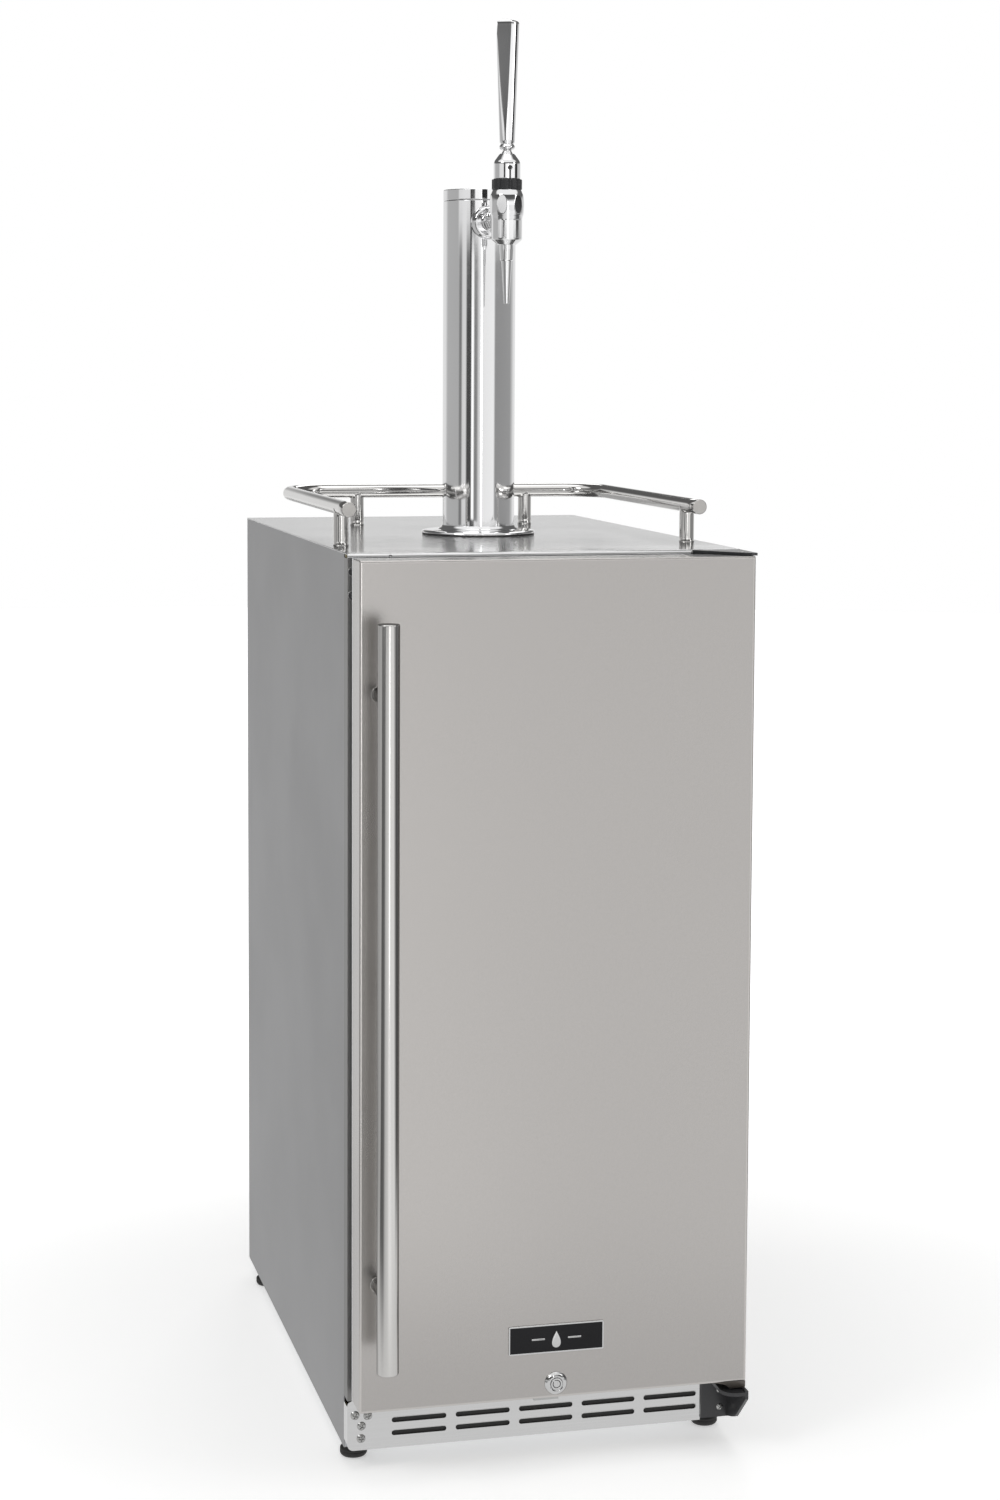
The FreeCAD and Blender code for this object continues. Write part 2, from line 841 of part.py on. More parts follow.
def lock_barrel():
    """The lock's fixed tube and its raised bezel."""
    outer = lock_barrel_diameter / 2
    bore = lock_plug_diameter / 2 + lock_clearance
    tube = rod((0, door_front_y, lock_z), Y_AXIS, outer, door_thickness)
    bezel = Part.makeCone(
        lock_bezel_diameter / 2 - 1.4, lock_bezel_diameter / 2, lock_proud,
        Vector(0, door_front_y - lock_proud, lock_z), Y_AXIS,
    )
    hole = rod((0, door_front_y - lock_proud - 1, lock_z), Y_AXIS, bore, door_thickness + lock_proud + 2)
    return fuse_all([tube, bezel]).cut(hole)


def lock_plug():
    """The turning plug with its round key way, and the flat cam at its inner end."""
    radius = lock_plug_diameter / 2
    start = door_front_y - lock_proud + 0.4
    end = door_back_y + 0.5
    plug = rod((0, start, lock_z), Y_AXIS, radius, end - start)
    key_ring = ring((0, start - 1, lock_z), Y_AXIS, 4.0, 2.6, 7.0)
    notch = block((-0.7, 0.7), (start - 1, start + 6), (lock_z + 3, lock_z + 5))
    cam_y = (end, end + cam_sheet)
    reach = cam_length
    cam = block((0, reach), cam_y, (lock_z - cam_width / 2, lock_z + cam_width / 2))
    cam = cam.fuse(rod((0, end, lock_z), Y_AXIS, cam_width / 2 + 2, cam_sheet))
    nut = rod((0, end + cam_sheet, lock_z), Y_AXIS, 4.5, 3.0)
    return fuse_all([plug.cut(key_ring).cut(notch), cam, nut])


def lock_strike():
    """The hook on the frame's face that the cam turns behind."""
    gap = 0.6
    cam_end = door_back_y + 0.5 + cam_sheet
    hook_high = lock_z - cam_length + 6
    hook_low = hook_high - 9
    half = 12.0
    plate = block((-half, half), (frame_front_y - 1.5, frame_front_y), (hook_low - 2, hook_high))
    shelf = block(
        (-half, half), (door_back_y + 0.5 - gap - 1.5, frame_front_y - 1.5), (hook_low - 2, hook_low - 0.5)
    )
    lip = block(
        (-half, half),
        (door_back_y + 0.5 - gap - 1.5, door_back_y + 0.5 - gap),
        (hook_low - 0.5, hook_high - 3),
    )
    return fuse_all([plate, shelf, lip])


# ---- hinges ----
def top_hinge_bracket():
    """The upper bracket: a tab on the frame and a three-cornered leaf over the door, with its pin."""
    leaf_top = top_z - leaf_drop
    right = half_width
    left = right - leaf_width
    front = hinge_y - hinge_pin_diameter / 2 - 10.5
    outline = [(left, frame_front_y), (right, frame_front_y), (right, front), (right - leaf_tip * 2, front),
               (left, frame_front_y - hinge_plate)]
    leaf = flat_plate(outline, leaf_top - hinge_plate, hinge_plate)
    tab = block(
        (left, right - 1), (frame_front_y - hinge_plate, frame_front_y),
        (leaf_top - leaf_tab_height, leaf_top)
    )
    pin_length = door_plate_sheet + hinge_pin_depth - 1.0
    pin_low = leaf_top - hinge_plate - pin_length
    pin = rod((hinge_x, hinge_y, pin_low), Z_AXIS, hinge_pin_diameter / 2, leaf_top - hinge_plate - pin_low)
    return fuse_all([leaf, tab, pin])


def bottom_hinge_bracket():
    """The lower bracket: face plate, arm under the door, side gusset and pin."""
    right = half_width - 1.5
    left = right - bracket_width
    plate_y = (frame_front_y - hinge_plate, frame_front_y)
    top = door_bottom - lower_arm_drop + 1.2
    plate = block((left, right), plate_y, (bracket_bottom, top))
    arm_z = lower_arm_z - lower_arm_sheet
    front = frame_front_y - bracket_front_reach
    round_radius = 14.0
    arm = block((right - 24, right), (front, frame_front_y), (arm_z, lower_arm_z))
    arm = fillet_where(
        arm, round_radius,
        lambda edge: along(edge, Z_AXIS)
        and edge.CenterOfMass.y < front + 1
        and edge.CenterOfMass.x < right - 20,
    )
    gusset_outline = [
        (frame_front_y, top), (front, top), (front, top - 8), (front + 30, bracket_bottom + 9),
        (front + 42, bracket_bottom + 4.5), (frame_front_y, bracket_bottom),
    ]
    gusset = side_plate(gusset_outline, right - 3, 3)
    pin_top = door_bottom + door_sheet + hinge_pin_depth - 1.0
    pin = rod((hinge_x, hinge_y, arm_z), Z_AXIS, hinge_pin_diameter / 2, pin_top - arm_z)
    return fuse_all([plate, arm, gusset, pin])


def hinge_washer():
    """The bright washer on the lower arm, round the pin."""
    bore = hinge_pin_diameter / 2 + hinge_clearance
    return ring((hinge_x, hinge_y, lower_arm_z), Z_AXIS, 5.8, bore, lower_washer)


def hinge_screws():
    """Countersunk screws in the upper tab and pan heads in the lower plate."""
    upper_z = top_z - leaf_drop - leaf_tab_height / 2
    lower_x = half_width - 11.5
    screws = [
        pan_head_screw((half_width - leaf_width + inset, frame_front_y - hinge_plate, upper_z), 7.0)
        for inset in (10.0, 36.0)
    ]
    screws += [
        pan_head_screw((lower_x, frame_front_y - hinge_plate, bracket_bottom + rise), 6.4) for rise in (
            10.0, 27.0
        )
    ]
    return screws


# ---- tower ----
def tower_stud_spots():
    """Four studs under the tower flange, as (x, y)."""
    radius = stud_circle / 2
    angles = [math.radians(45 + 90 * index) for index in range(4)]
    return [(radius * math.cos(angle), tower_y + radius * math.sin(angle)) for angle in angles]


def tower_gasket():
    """The rubber ring under the tower flange."""
    seal = ring((0, tower_y, top_z), Z_AXIS, flange_diameter / 2 - 1, tower_hole_diameter / 2, gasket_sheet)
    return cut_all(
        seal, [rod((x, y, top_z - 1), Z_AXIS, stud_diameter / 2, 4)
        for x, y in tower_stud_spots()]
    )


def tower_flange():
    """The round base flange with a soft edge and a bead round the column."""
    low = gasket_sheet
    radius = flange_diameter / 2
    column = tower_diameter / 2
    profile = [
        (tower_hole_diameter / 2, low), (radius, low), (radius, low + flange_edge - 1),
        (radius - 1.2, low + flange_edge), (column + 4, low + flange_height - 0.6),
        (column + 1.5, low + flange_height + 1.2),
        (column + 0.02, low + flange_height + 3.2), (column + 0.02, low + flange_height - 2),
        (tower_hole_diameter / 2, low + flange_height - 2),
    ]
    return turned(profile, (0, tower_y, top_z))


def tower_studs():
    """Studs that come down from the flange through the top panel."""
    studs = []
    for x, y in tower_stud_spots():
        shaft = rod((x, y, top_z - 10), Z_AXIS, stud_diameter / 2 - 0.05, 10 + gasket_sheet)
        nut = rod((x, y, top_z - top_sheet - 5), Z_AXIS, 4.5, 5)
        studs.append(shaft.fuse(nut).removeSplitter())
    return studs


def tower_column():
    """The thin steel column with the shank hole in its front."""
    low = top_z + gasket_sheet + flange_height - 2
    high = top_z + tower_height - cap_height
    radius = tower_diameter / 2
    column = ring((0, tower_y, low), Z_AXIS, radius, radius - tower_wall, high - low)
    hole = rod((0, tower_y, shank_z), Y_AXIS.negative(), shank_diameter / 2 + 0.02, tower_diameter)
    return column.cut(hole)


def tower_cap():
    """The lift-off lid with a soft top edge and a spigot inside the column."""
    base = tower_height - cap_height
    radius = tower_diameter / 2
    spigot = radius - tower_wall
    profile = [
        (0, base - 8), (spigot, base - 8), (spigot, base), (radius, base), (radius, tower_height - 1.6),
        (radius - 0.5, tower_height - 0.5), (radius - 1.6, tower_height), (0, tower_height),
    ]
    hollow = [(0, base - 9), (spigot - 2, base - 9), (spigot - 2, base + 6), (0, base + 6)]
    return turned(profile, (0, tower_y, top_z)).cut(turned(hollow, (0, tower_y, top_z)))


# ---- shank ----
def shank():
    """The threaded shank from inside the column to the tap's socket, bored through."""
    start = tower_y + 18.0
    end = tap_y + body_diameter / 2 + 3.0
    radius = shank_diameter / 2
    tube = rod((0, end, shank_z), Y_AXIS, radius, start - end)
    tail = rod((0, start, shank_z), Y_AXIS, 6.0, 10.0)
    bore = rod((0, end - 1, shank_z), Y_AXIS, shank_bore_diameter / 2, start - end + 12)
    return fuse_all([tube, tail]).cut(bore)


def shank_flange():
    """The bright domed flange where the shank leaves the column."""
    outer = shank_flange_diameter / 2
    face_y = tower_y - tower_diameter / 2
    profile = [
        (shank_diameter / 2, 0), (outer, 0), (outer, 2.4), (outer - 2.2, 5.0), (13.2, 6.2),
        (shank_diameter / 2, 6.2)
    ]
    dome = turned(profile, (0, 0, 0))
    dome.rotate(Vector(0, 0, 0), X_AXIS, 90)
    dome.translate(Vector(0, face_y - 0.5, shank_z))
    back = ring((0, face_y - 0.5, shank_z), Y_AXIS, outer, shank_diameter / 2, 8.5)
    column = rod((0, tower_y, shank_z - 50), Z_AXIS, tower_diameter / 2, 100)
    return fuse_all([dome, back]).cut(column)


def shank_nut():
    """The nut that clamps the shank inside the column."""
    y = tower_y - tower_diameter / 2 + tower_wall + 4.0
    nut = hexagon_nut((0, y, shank_z), 30.0, 7.0, shank_diameter / 2)
    return nut


def hexagon_nut(start, across_corners, length, bore_radius):
    """A hexagonal nut that runs along +Y from its start."""
    x, y, z = start
    radius = across_corners / 2
    points = [
        Vector(x + radius * math.cos(math.radians(60 * i)), y, z + radius * math.sin(math.radians(60 * i)))
        for i in range(6)
    ]
    nut = Part.Face(Part.makePolygon(points + [points[0]])).extrude(Vector(0, length, 0))
    return nut.cut(rod(start, Y_AXIS, bore_radius, length))


def coupling_nut():
    """The notched ring that pulls the tap onto the shank."""
    start = tap_y + body_diameter / 2 + 3.2
    length = 14.0
    outer = coupling_diameter / 2
    nut = ring((0, start, shank_z), Y_AXIS, outer, shank_diameter / 2, length)
    notch_count = 8
    notches = []
    for index in range(notch_count):
        angle = math.radians(index * 360 / notch_count + 22.5)
        x = outer * math.cos(angle)
        z = shank_z + outer * math.sin(angle)
        notches.append(rod((x, start - 1, z), Y_AXIS, 2.0, length - 3))
    return cut_all(nut, notches)


# ---- tap ----
def tap_body():
    """The tap's body: chamfered barrel, bulged waist with flats, socket and bore."""
    barrel = body_diameter / 2
    bulge = bulge_diameter / 2
    profile = [
        (0, body_bottom_height), (barrel - 6, body_bottom_height), (barrel, body_cone_height),
        (barrel, bulge_bottom_height - 2), (bulge - 0.5, bulge_bottom_height + 3.5),
        (bulge, bulge_bottom_height + 8), (bulge, bulge_top_height - 8),
        (bulge - 0.9, bulge_top_height - 2.5), (barrel - 1.2, bulge_top_height), (0, bulge_top_height),
    ]
    body = turned(profile, (0, tap_y, top_z))
    socket_end = tap_y + barrel + 3.0
    socket = rod((0, tap_y, shank_z), Y_AXIS, 9.0, socket_end - tap_y)
    feed = rod((0, tap_y, shank_z), Y_AXIS, shank_bore_diameter / 2, 40)
    bore = rod(
        (0, tap_y, top_z + body_bottom_height - 1), Z_AXIS, plunger_diameter / 2 + plunger_clearance, 80
    )
    flats = []
    middle = top_z + (bulge_bottom_height + bulge_top_height) / 2
    for angle in flat_angles:
        flat = Part.makeSphere(15.5, Vector(0, 0, 0))
        flat.translate(Vector(0, -(bulge + 14.1), 0))
        flat.rotate(Vector(0, 0, 0), Z_AXIS, angle)
        flat.translate(Vector(0, tap_y, middle))
        flats.append(flat)
    return cut_all(fuse_all([body, socket]), [feed, bore] + flats)


def tap_collar():
    """The black grip ring between the body and the bonnet, with wide notches."""
    low = bulge_top_height
    outer = collar_diameter / 2
    collar = ring((0, tap_y, top_z + low), Z_AXIS, outer, 8.0, collar_top_height - low)
    notch_count = 8
    notches = []
    for index in range(notch_count):
        angle = math.radians(index * 360 / notch_count)
        x = (outer + 0.9) * math.cos(angle)
        y = tap_y + (outer + 0.9) * math.sin(angle)
        notches.append(rod((x, y, top_z + low), Z_AXIS, 1.8, collar_top_height - low))
    return cut_all(collar, notches)


def tap_bonnet():
    """The bright bonnet that holds the lever's ball, with its front keyhole."""
    outer = bonnet_diameter / 2
    neck = bonnet_neck_diameter / 2
    profile = [
        (0, collar_top_height), (outer, collar_top_height), (outer, bonnet_shoulder_height - 5),
        (outer - 0.8, bonnet_shoulder_height - 2), (neck + 1.5, bonnet_top_height - 1),
        (neck, bonnet_top_height),
        (0, bonnet_top_height),
    ]
    bonnet = turned(profile, (0, tap_y, top_z))
    cavity_radius = lever_ball_diameter / 2 + ball_clearance
    cavity = Part.makeSphere(cavity_radius, Vector(0, tap_y, pivot_z))
    low = top_z + collar_top_height - 1
    lower = rod((0, tap_y, low), Z_AXIS, cavity_radius, pivot_z - low)
    key_z = top_z + keyhole_height
    key_round = rod((0, tap_y - 30, key_z), Y_AXIS, 2.2, 30)
    key_slit = block((-0.8, 0.8), (tap_y - 30, tap_y), (low, key_z))
    bore_reach = trunnion_reach + ball_clearance
    bore_radius = trunnion_diameter / 2 + trunnion_clearance
    trunnion_bore = rod((-bore_reach, tap_y, pivot_z), X_AXIS, bore_radius, 2 * bore_reach)
    return cut_all(bonnet, [cavity, lower, key_round, key_slit, trunnion_bore])


def tap_nozzle():
    """The long tapered restrictor nozzle, bored through."""
    tip = nozzle_tip_diameter / 2
    step = nozzle_step_diameter / 2
    top = nozzle_top_diameter / 2
    bore = nozzle_bore_diameter / 2
    profile = [
        (bore, nozzle_tip_height), (tip, nozzle_tip_height), (step, nozzle_step_height),
        (step + 1.2, nozzle_step_height + 0.6),
        (top, nozzle_top_height), (top, body_bottom_height), (bore, body_bottom_height),
    ]
    return turned(profile, (0, tap_y, top_z))


def tap_plunger():
    """The valve rod that rises when the lever is pulled."""
    low = top_z + body_bottom_height + 2.0
    high = pivot_z - lever_ball_diameter / 2 - plunger_travel - 1.0
    stem = rod((0, tap_y, low), Z_AXIS, plunger_diameter / 2, high - low)
    seat = Part.makeCone(1.5, plunger_diameter / 2, 2.0, Vector(0, tap_y, low - 1.6), Z_AXIS)
    return fuse_all([stem, seat])


def lever_section(height, width, depth):
    """One flattened oval ring of the lever, as a closed wire."""
    ellipse = Part.Ellipse(Vector(0, tap_y, height), width / 2, depth / 2)
    return Part.Wire([ellipse.toShape()])


def tap_lever():
    """The paddle lever: a ball and neck below, and a flattened handle that widens upwards."""
    ferrule_z = pivot_z + lever_ball_diameter / 2 + 0.6
    root_z = ferrule_z + 4.0
    tip_z = top_z + lever_top_height
    rows = 6
    sections = []
    for index in range(rows + 1):
        share = index / rows
        width = lever_root_width + (lever_width - lever_root_width) * share
        depth = lever_root_depth + (lever_depth - lever_root_depth) * share
        sections.append(lever_section(root_z + (tip_z - 9.0 - root_z) * share, width, depth))
    paddle = Part.makeLoft(sections, True, False)
    dome_steps = 5
    caps = []
    for index in range(dome_steps + 1):
        angle = math.radians(84.0 * index / dome_steps)
        caps.append(lever_section(tip_z - 9.0 + 9.0 * math.sin(angle), lever_width * math.cos(angle) ** 0.5,
                                  lever_depth * math.cos(angle) ** 0.5))
    dome = Part.makeLoft(caps, True, False)
    ferrule = turned([(0, 0), (5.0, 0), (7.6, 1.6), (7.6, 3.6), (6.2, 5.2), (0, 5.2)],
                     (0, tap_y, ferrule_z))
    neck = rod((0, tap_y, pivot_z), Z_AXIS, lever_neck_diameter / 2, root_z - pivot_z)
    ball = Part.makeSphere(lever_ball_diameter / 2, Vector(0, tap_y, pivot_z))
    trunnions = rod((-trunnion_reach, tap_y, pivot_z), X_AXIS, trunnion_diameter / 2, 2 * trunnion_reach)
    return fuse_all([ball, trunnions, neck, ferrule, paddle, dome])


# ---- guard rail ----
def rail_post_spots():
    """The four rail posts, as (x, y)."""
    front = rail_front_y + rail_post_behind_end
    return [
        (-rail_x, front), (rail_x, front), (-rail_back_post_x, rail_back_y), (rail_back_post_x, rail_back_y)
    ]


def rail_path():
    """The rail's centreline: two straight sides, two rounded corners and the back run."""
    corner = rail_corner
    bend = corner * (1 - math.cos(math.radians(45)))
    left, right, front, back = -rail_x, rail_x, rail_front_y, rail_back_y
    points = [
        Vector(left, front, rail_z), Vector(left, back - corner, rail_z),
        Vector(left + bend, back - bend, rail_z),
        Vector(left + corner, back, rail_z), Vector(right - corner, back, rail_z),
        Vector(right - bend, back - bend, rail_z), Vector(right, back - corner, rail_z),
        Vector(right, front, rail_z),
    ]
    return Part.Wire([
        Part.LineSegment(points[0], points[1]).toShape(),
        Part.Arc(points[1], points[2], points[3]).toShape(),
        Part.LineSegment(points[3], points[4]).toShape(),
        Part.Arc(points[4], points[5], points[6]).toShape(),
        Part.LineSegment(points[6], points[7]).toShape(),
    ])


def swept_round(radius):
    """A round bar of a given radius along the rail's centreline."""
    circle = Part.Wire([Part.Circle(Vector(-rail_x, rail_front_y, rail_z), Y_AXIS, radius).toShape()])
    return rail_path().makePipeShell([circle], True, False)


def guard_rail():
    """The bent tube round the sides and back of the top."""
    radius = rail_diameter / 2
    return swept_round(radius).cut(swept_round(radius - rail_wall))


def rail_end_caps():
    """Flat discs that close the rail's two front ends."""
    radius = rail_diameter / 2
    return [
        rod((x, rail_front_y - rail_cap_sheet, rail_z), Y_AXIS, radius, rail_cap_sheet)
        for x in (-rail_x, rail_x)
    ]


def rail_posts():
    """Four tubes from the top panel up to the rail, saddled to it."""
    rail_core = swept_round(rail_diameter / 2)
    radius = rail_diameter / 2 - 0.05
    return [rod((x, y, top_z), Z_AXIS, radius, rail_height).cut(rail_core) for x, y in rail_post_spots()]


def rail_bolts():
    """Bolts and washers that hold the posts from under the top panel."""
    bolts = []
    for x, y in rail_post_spots():
        head = rod((x, y, top_z - top_sheet - 4), Z_AXIS, 5.5, 4)
        shaft = rod((x, y, top_z - top_sheet), Z_AXIS, stud_diameter / 2 - 0.05, top_sheet)
        bolts.append(head.fuse(shaft).removeSplitter())
    return bolts


# ---- inside the cooled space ----
def gas_hole():
    """The hole through the back wall for a gas line."""
    x, z = gas_line_spot()
    return rod((x, liner_back_y - 5, z), Y_AXIS, 10.0, back_wall + 10)


def gas_line_spot():
    """Where the gas line enters, as (x, z)."""
    return (opening_half_width - 22.0, opening_top_z - 60.0)


def gas_line_grommet():
    """The bush that lines the gas hole, open for a hose."""
    x, z = gas_line_spot()
    start = liner_back_y - liner_sheet - 3.0
    tube = rod((x, start, z), Y_AXIS, 10.0, back_y - start)
    inner_rim = rod((x, start, z), Y_AXIS, 14.0, 3.0)
    bore = rod((x, start - 1, z), Y_AXIS, 6.5, back_y - start + 2)
    return fuse_all([tube, inner_rim]).cut(bore)


def floor_plate():
    """The steel plate that the keg stands on, with a turned-up rear edge."""
    gap = 4.0
    half = opening_half_width - liner_sheet - gap
    y_range = (liner_front_y + 12.0, hump_front_y - liner_sheet - gap)
    plate = block((-half, half), y_range, (opening_bottom, opening_bottom + 2.0))
    rear = block((-half, half), (y_range[1] - 2.0, y_range[1]), (opening_bottom, opening_bottom + 14.0))
    return fuse_all([plate, rear])


def evaporator_base_z():
    """The lowest height of the evaporator's cover."""
    return hump_top_z + 60.0


def circulation_fan_z():
    """The height of the circulation fan's axis."""
    return evaporator_base_z() + cover_height - 76.0


def evaporator_cover():
    """The moulded cover on the back wall, with a fan grille and air slots."""
    base = evaporator_base_z()
    back = liner_back_y - liner_sheet
    front = back - cover_depth
    half = cover_width / 2
    shell = block((-half, half), (front, back), (base, base + cover_height))
    shell = fillet_where(
        shell, cover_rounding, lambda edge: along(edge, Y_AXIS) or edge.CenterOfMass.y < front + 0.01
    )
    hollow = block(
        (-half + cover_sheet, half - cover_sheet),
        (front + cover_sheet, back),
        (base + cover_sheet, base + cover_height - cover_sheet),
    )
    hollow = fillet_where(hollow, cover_rounding - cover_sheet, lambda edge: along(edge, Y_AXIS) or (
        edge.CenterOfMass.y < front + cover_sheet + 0.01))
    cutters = [hollow]
    fan_z = circulation_fan_z()
    ring_count = 5
    spoke = 3.0
    bars = [block((-spoke, spoke), (front - 1, front + 20), (fan_z - 60, fan_z + 60)),
            block((-60, 60), (front - 1, front + 20), (fan_z - spoke, fan_z + spoke))]
    for index in range(ring_count):
        outer = 12.0 + index * 7.6
        groove = ring((0, front - 1, fan_z), Y_AXIS, outer, outer - 4.6, cover_sheet + 2)
        cutters.append(cut_all(groove, bars))
    for row in range(4):
        centre = (0, base + 32.0 + row * 14.0)
        cutters.append(slot_cutter(centre, 150.0, 5.0, (front - 1, front + cover_sheet + 1)))
    return cut_all(shell, cutters)


def evaporator_coil():
    """The finned cooling block behind the cover."""
    base = evaporator_base_z() + 26.0
    back = liner_back_y - liner_sheet - 6.0
    depth = 40.0
    fin_count = 17
    fin_pitch = 11.0
    start = -(fin_count - 1) / 2 * fin_pitch
    fins = [
        block(
            (start + i * fin_pitch - 0.4, start + i * fin_pitch + 0.4), (back - depth, back),
            (base, base + 96)
        )
        for i in range(fin_count)
    ]
    tubes = []
    for row in range(4):
        for column in range(2):
            y = back - depth / 2 + (column - 0.5) * 20
            tubes.append(rod((start - 8, y, base + 12 + row * 24), X_AXIS, 4.0, -2 * start + 16))
    return fuse_all(fins + tubes)


def fan_blade(centre, direction, diameter, blade_count, hub_radius, shaft_radius):
    """A bladed fan about an axis along Y: hub with a shaft bore and pitched blades."""
    thickness = 14.0
    x, y, z = centre
    hub = rod((x, y, z), Y_AXIS, hub_radius, thickness)
    blades = []
    for index in range(blade_count):
        reach = diameter / 2 - hub_radius + 2.0
        blade = block((-9, 9), (-0.8, 0.8), (0, reach))
        blade.rotate(Vector(0, 0, 0), Z_AXIS, direction * 32)
        blade.translate(Vector(0, 0, hub_radius - 2.0))
        blade.rotate(Vector(0, 0, 0), Y_AXIS, index * 360 / blade_count)
        blade.translate(Vector(x, y + thickness / 2, z))
        blades.append(blade)
    tip_limit = rod((x, y, z), Y_AXIS, diameter / 2, thickness)
    bladed = hub.fuse([blade.common(tip_limit) for blade in blades]).removeSplitter()
    bore = rod((x, y + 2.0, z), Y_AXIS, shaft_radius + fan_clearance, thickness)
    return bladed.cut(bore)


def circulation_fan_centre():
    """The front of the circulation fan's hub."""
    return (0, liner_back_y - liner_sheet - cover_depth + cover_sheet + 6.0, circulation_fan_z())


def circulation_fan():
    """The blade wheel that blows cold air through the cover's grille."""
    return fan_blade(circulation_fan_centre(), 1, circulation_fan_diameter, 5, 13.0, fan_shaft_diameter / 2)


def fan_motor(centre, body_diameter_mm, body_length, back_limit):
    """A round fan motor behind the blades, with its shaft and a mounting bar."""
    x, y, z = centre
    hub_back = y + 14.0
    gap = 1.0
    shaft = rod((x, y + 3.0, z), Y_AXIS, fan_shaft_diameter / 2, 14.0)
    motor = rod((x, hub_back + gap, z), Y_AXIS, body_diameter_mm / 2, body_length)
    return fuse_all([shaft, motor, block((x - 46, x + 46), (back_limit - 2.0, back_limit), (z - 7, z + 7)),
                     rod((x, hub_back + gap, z), Y_AXIS, 6.0, back_limit - hub_back - gap)])


def circulation_motor():
    """The circulation fan's motor, carried on the liner's back wall."""
    return fan_motor(circulation_fan_centre(), 34.0, 20.0, liner_back_y - liner_sheet)


def control_spot():
    """The control box's front, and its lowest height."""
    return (liner_front_y + 40.0, opening_top_z - liner_sheet - control_height)


def control_housing():
    """The box under the ceiling that holds the display, buttons and lamp."""
    front, base = control_spot()
    half = control_width / 2
    shell = block((-half, half), (front, front + control_depth), (base, base + control_height))
    shell = fillet_where(shell, 4.0, lambda edge: along(edge, Z_AXIS))
    hollow = block(
        (-half + 2, half - 2), (front + 2, front + control_depth - 2), (base + 2, base + control_height)
    )
    display_cut = block((-62, -26), (front - 1, front + 3), (base + 5, base + 19))
    radius = button_diameter / 2 + button_clearance
    button_cuts = [
        rod((x, front - 1, base + control_height / 2), Y_AXIS, radius, 4)
        for x in button_places()
    ]
    lamp_cut = block((-50, 50), (front + 22, front + 52), (base - 1, base + 3))
    return cut_all(shell, [hollow, display_cut, lamp_cut] + button_cuts)


def button_places():
    """The x places of the three control buttons."""
    return [6.0 + index * button_spacing for index in range(3)]


def control_display():
    """The dark display window."""
    front, base = control_spot()
    window = block((-62, -26), (front, front + 3), (base + 5, base + 19))
    flange = block((-64, -24), (front + 2, front + 4), (base + 3.5, base + 20.5))
    return fuse_all([window, flange])


def control_button(x):
    """A round push button with a retaining flange behind the panel."""
    front, base = control_spot()
    z = base + control_height / 2
    cap = rod((x, front - 2.0, z), Y_AXIS, button_diameter / 2, 8.0)
    cap = cap.makeChamfer(0.6, [edge for edge in cap.Edges if edge.Curve.TypeId == "Part::GeomCircle"
                                and edge.CenterOfMass.y < front])
    flange = rod((x, front + 2.3, z), Y_AXIS, button_diameter / 2 + 1.5, 1.5)
    return fuse_all([cap, flange])


def lamp_lens():
    """The clear cover of the interior lamp, in the control box's underside."""
    front, base = control_spot()
    lens = block((-50, 50), (front + 22, front + 52), (base - 0.5, base + 2))
    flange = block((-52, 52), (front + 20, front + 54), (base + 2, base + 3.5))
    return fuse_all([lens, flange])


# ---- compressor bay ----
def compressor_centre():
    """The compressor's axis, as (x, y)."""
    return (half_width - 96.0, back_y - 96.0)


def compressor_mount_spots():
    """The four rubber mounts under the compressor, as (x, y)."""
    x, y = compressor_centre()
    return [(x + dx, y + dy) for dx in (-52, 52) for dy in (-40, 40)]


def compressor_plate_z():
    """The underside of the compressor's foot plate."""
    return side_bottom + sheet + top_sheet + 12.0


def compressor():
    """The sealed compressor can on its foot plate."""
    x, y = compressor_centre()
    base = compressor_plate_z()
    radius = compressor_diameter / 2
    can_low = 10.0
    profile = [
        (0, can_low), (radius - 18, can_low), (radius - 5, can_low + 6), (radius, can_low + 20),
        (radius, compressor_height - 34), (radius - 5, compressor_height - 14),
        (radius - 22, compressor_height),
        (0, compressor_height),
    ]
    can = turned(profile, (x, y, base))
    plate = block((x - 64, x + 64), (y - 52, y + 52), (base, base + 3))
    pedestal = rod((x, y, base), Z_AXIS, 30, can_low + 3)
    holes = [rod((mx, my, base - 1), Z_AXIS, 4.0, 5) for mx, my in compressor_mount_spots()]
    return cut_all(fuse_all([can, plate, pedestal]), holes)


def compressor_mounts():
    """Rubber grommets between the tray and the compressor plate."""
    tray = side_bottom + sheet
    base = compressor_plate_z()
    mounts = []
    for x, y in compressor_mount_spots():
        foot = rod((x, y, tray), Z_AXIS, mount_foot_radius, top_sheet)
        body = rod((x, y, tray + top_sheet), Z_AXIS, 9.0, base - tray - top_sheet)
        stem = rod((x, y, base), Z_AXIS, 4.0, 3.0)
        head = rod((x, y, base + 3.0), Z_AXIS, 6.0, 2.5)
        mounts.append(fuse_all([foot, body, stem, head]))
    return mounts


def condenser_fan_centre():
    """The front of the condenser fan's hub."""
    return (-half_width + 92.0, machine_front_y + 62.0, machine_floor_z + 92.0)


def fan_shroud():
    """The square duct plate round the condenser fan, standing on the tray."""
    x, y, z = condenser_fan_centre()
    half = condenser_fan_diameter / 2 + 8.0
    base = side_bottom + sheet + top_sheet
    plate = block((x - half, x + half), (y - 2, y), (base, z + half))
    collar = ring(
        (x, y, z), Y_AXIS, condenser_fan_diameter / 2 + 5.0, condenser_fan_diameter / 2 + 3.0, 18.0
    )
    hole = rod((x, y - 3, z), Y_AXIS, condenser_fan_diameter / 2 + 3.0, 30)
    foot = block((x - half, x + half), (y - 2, y + 18), (base, base + 2))
    return fuse_all([plate.cut(hole), collar, foot])


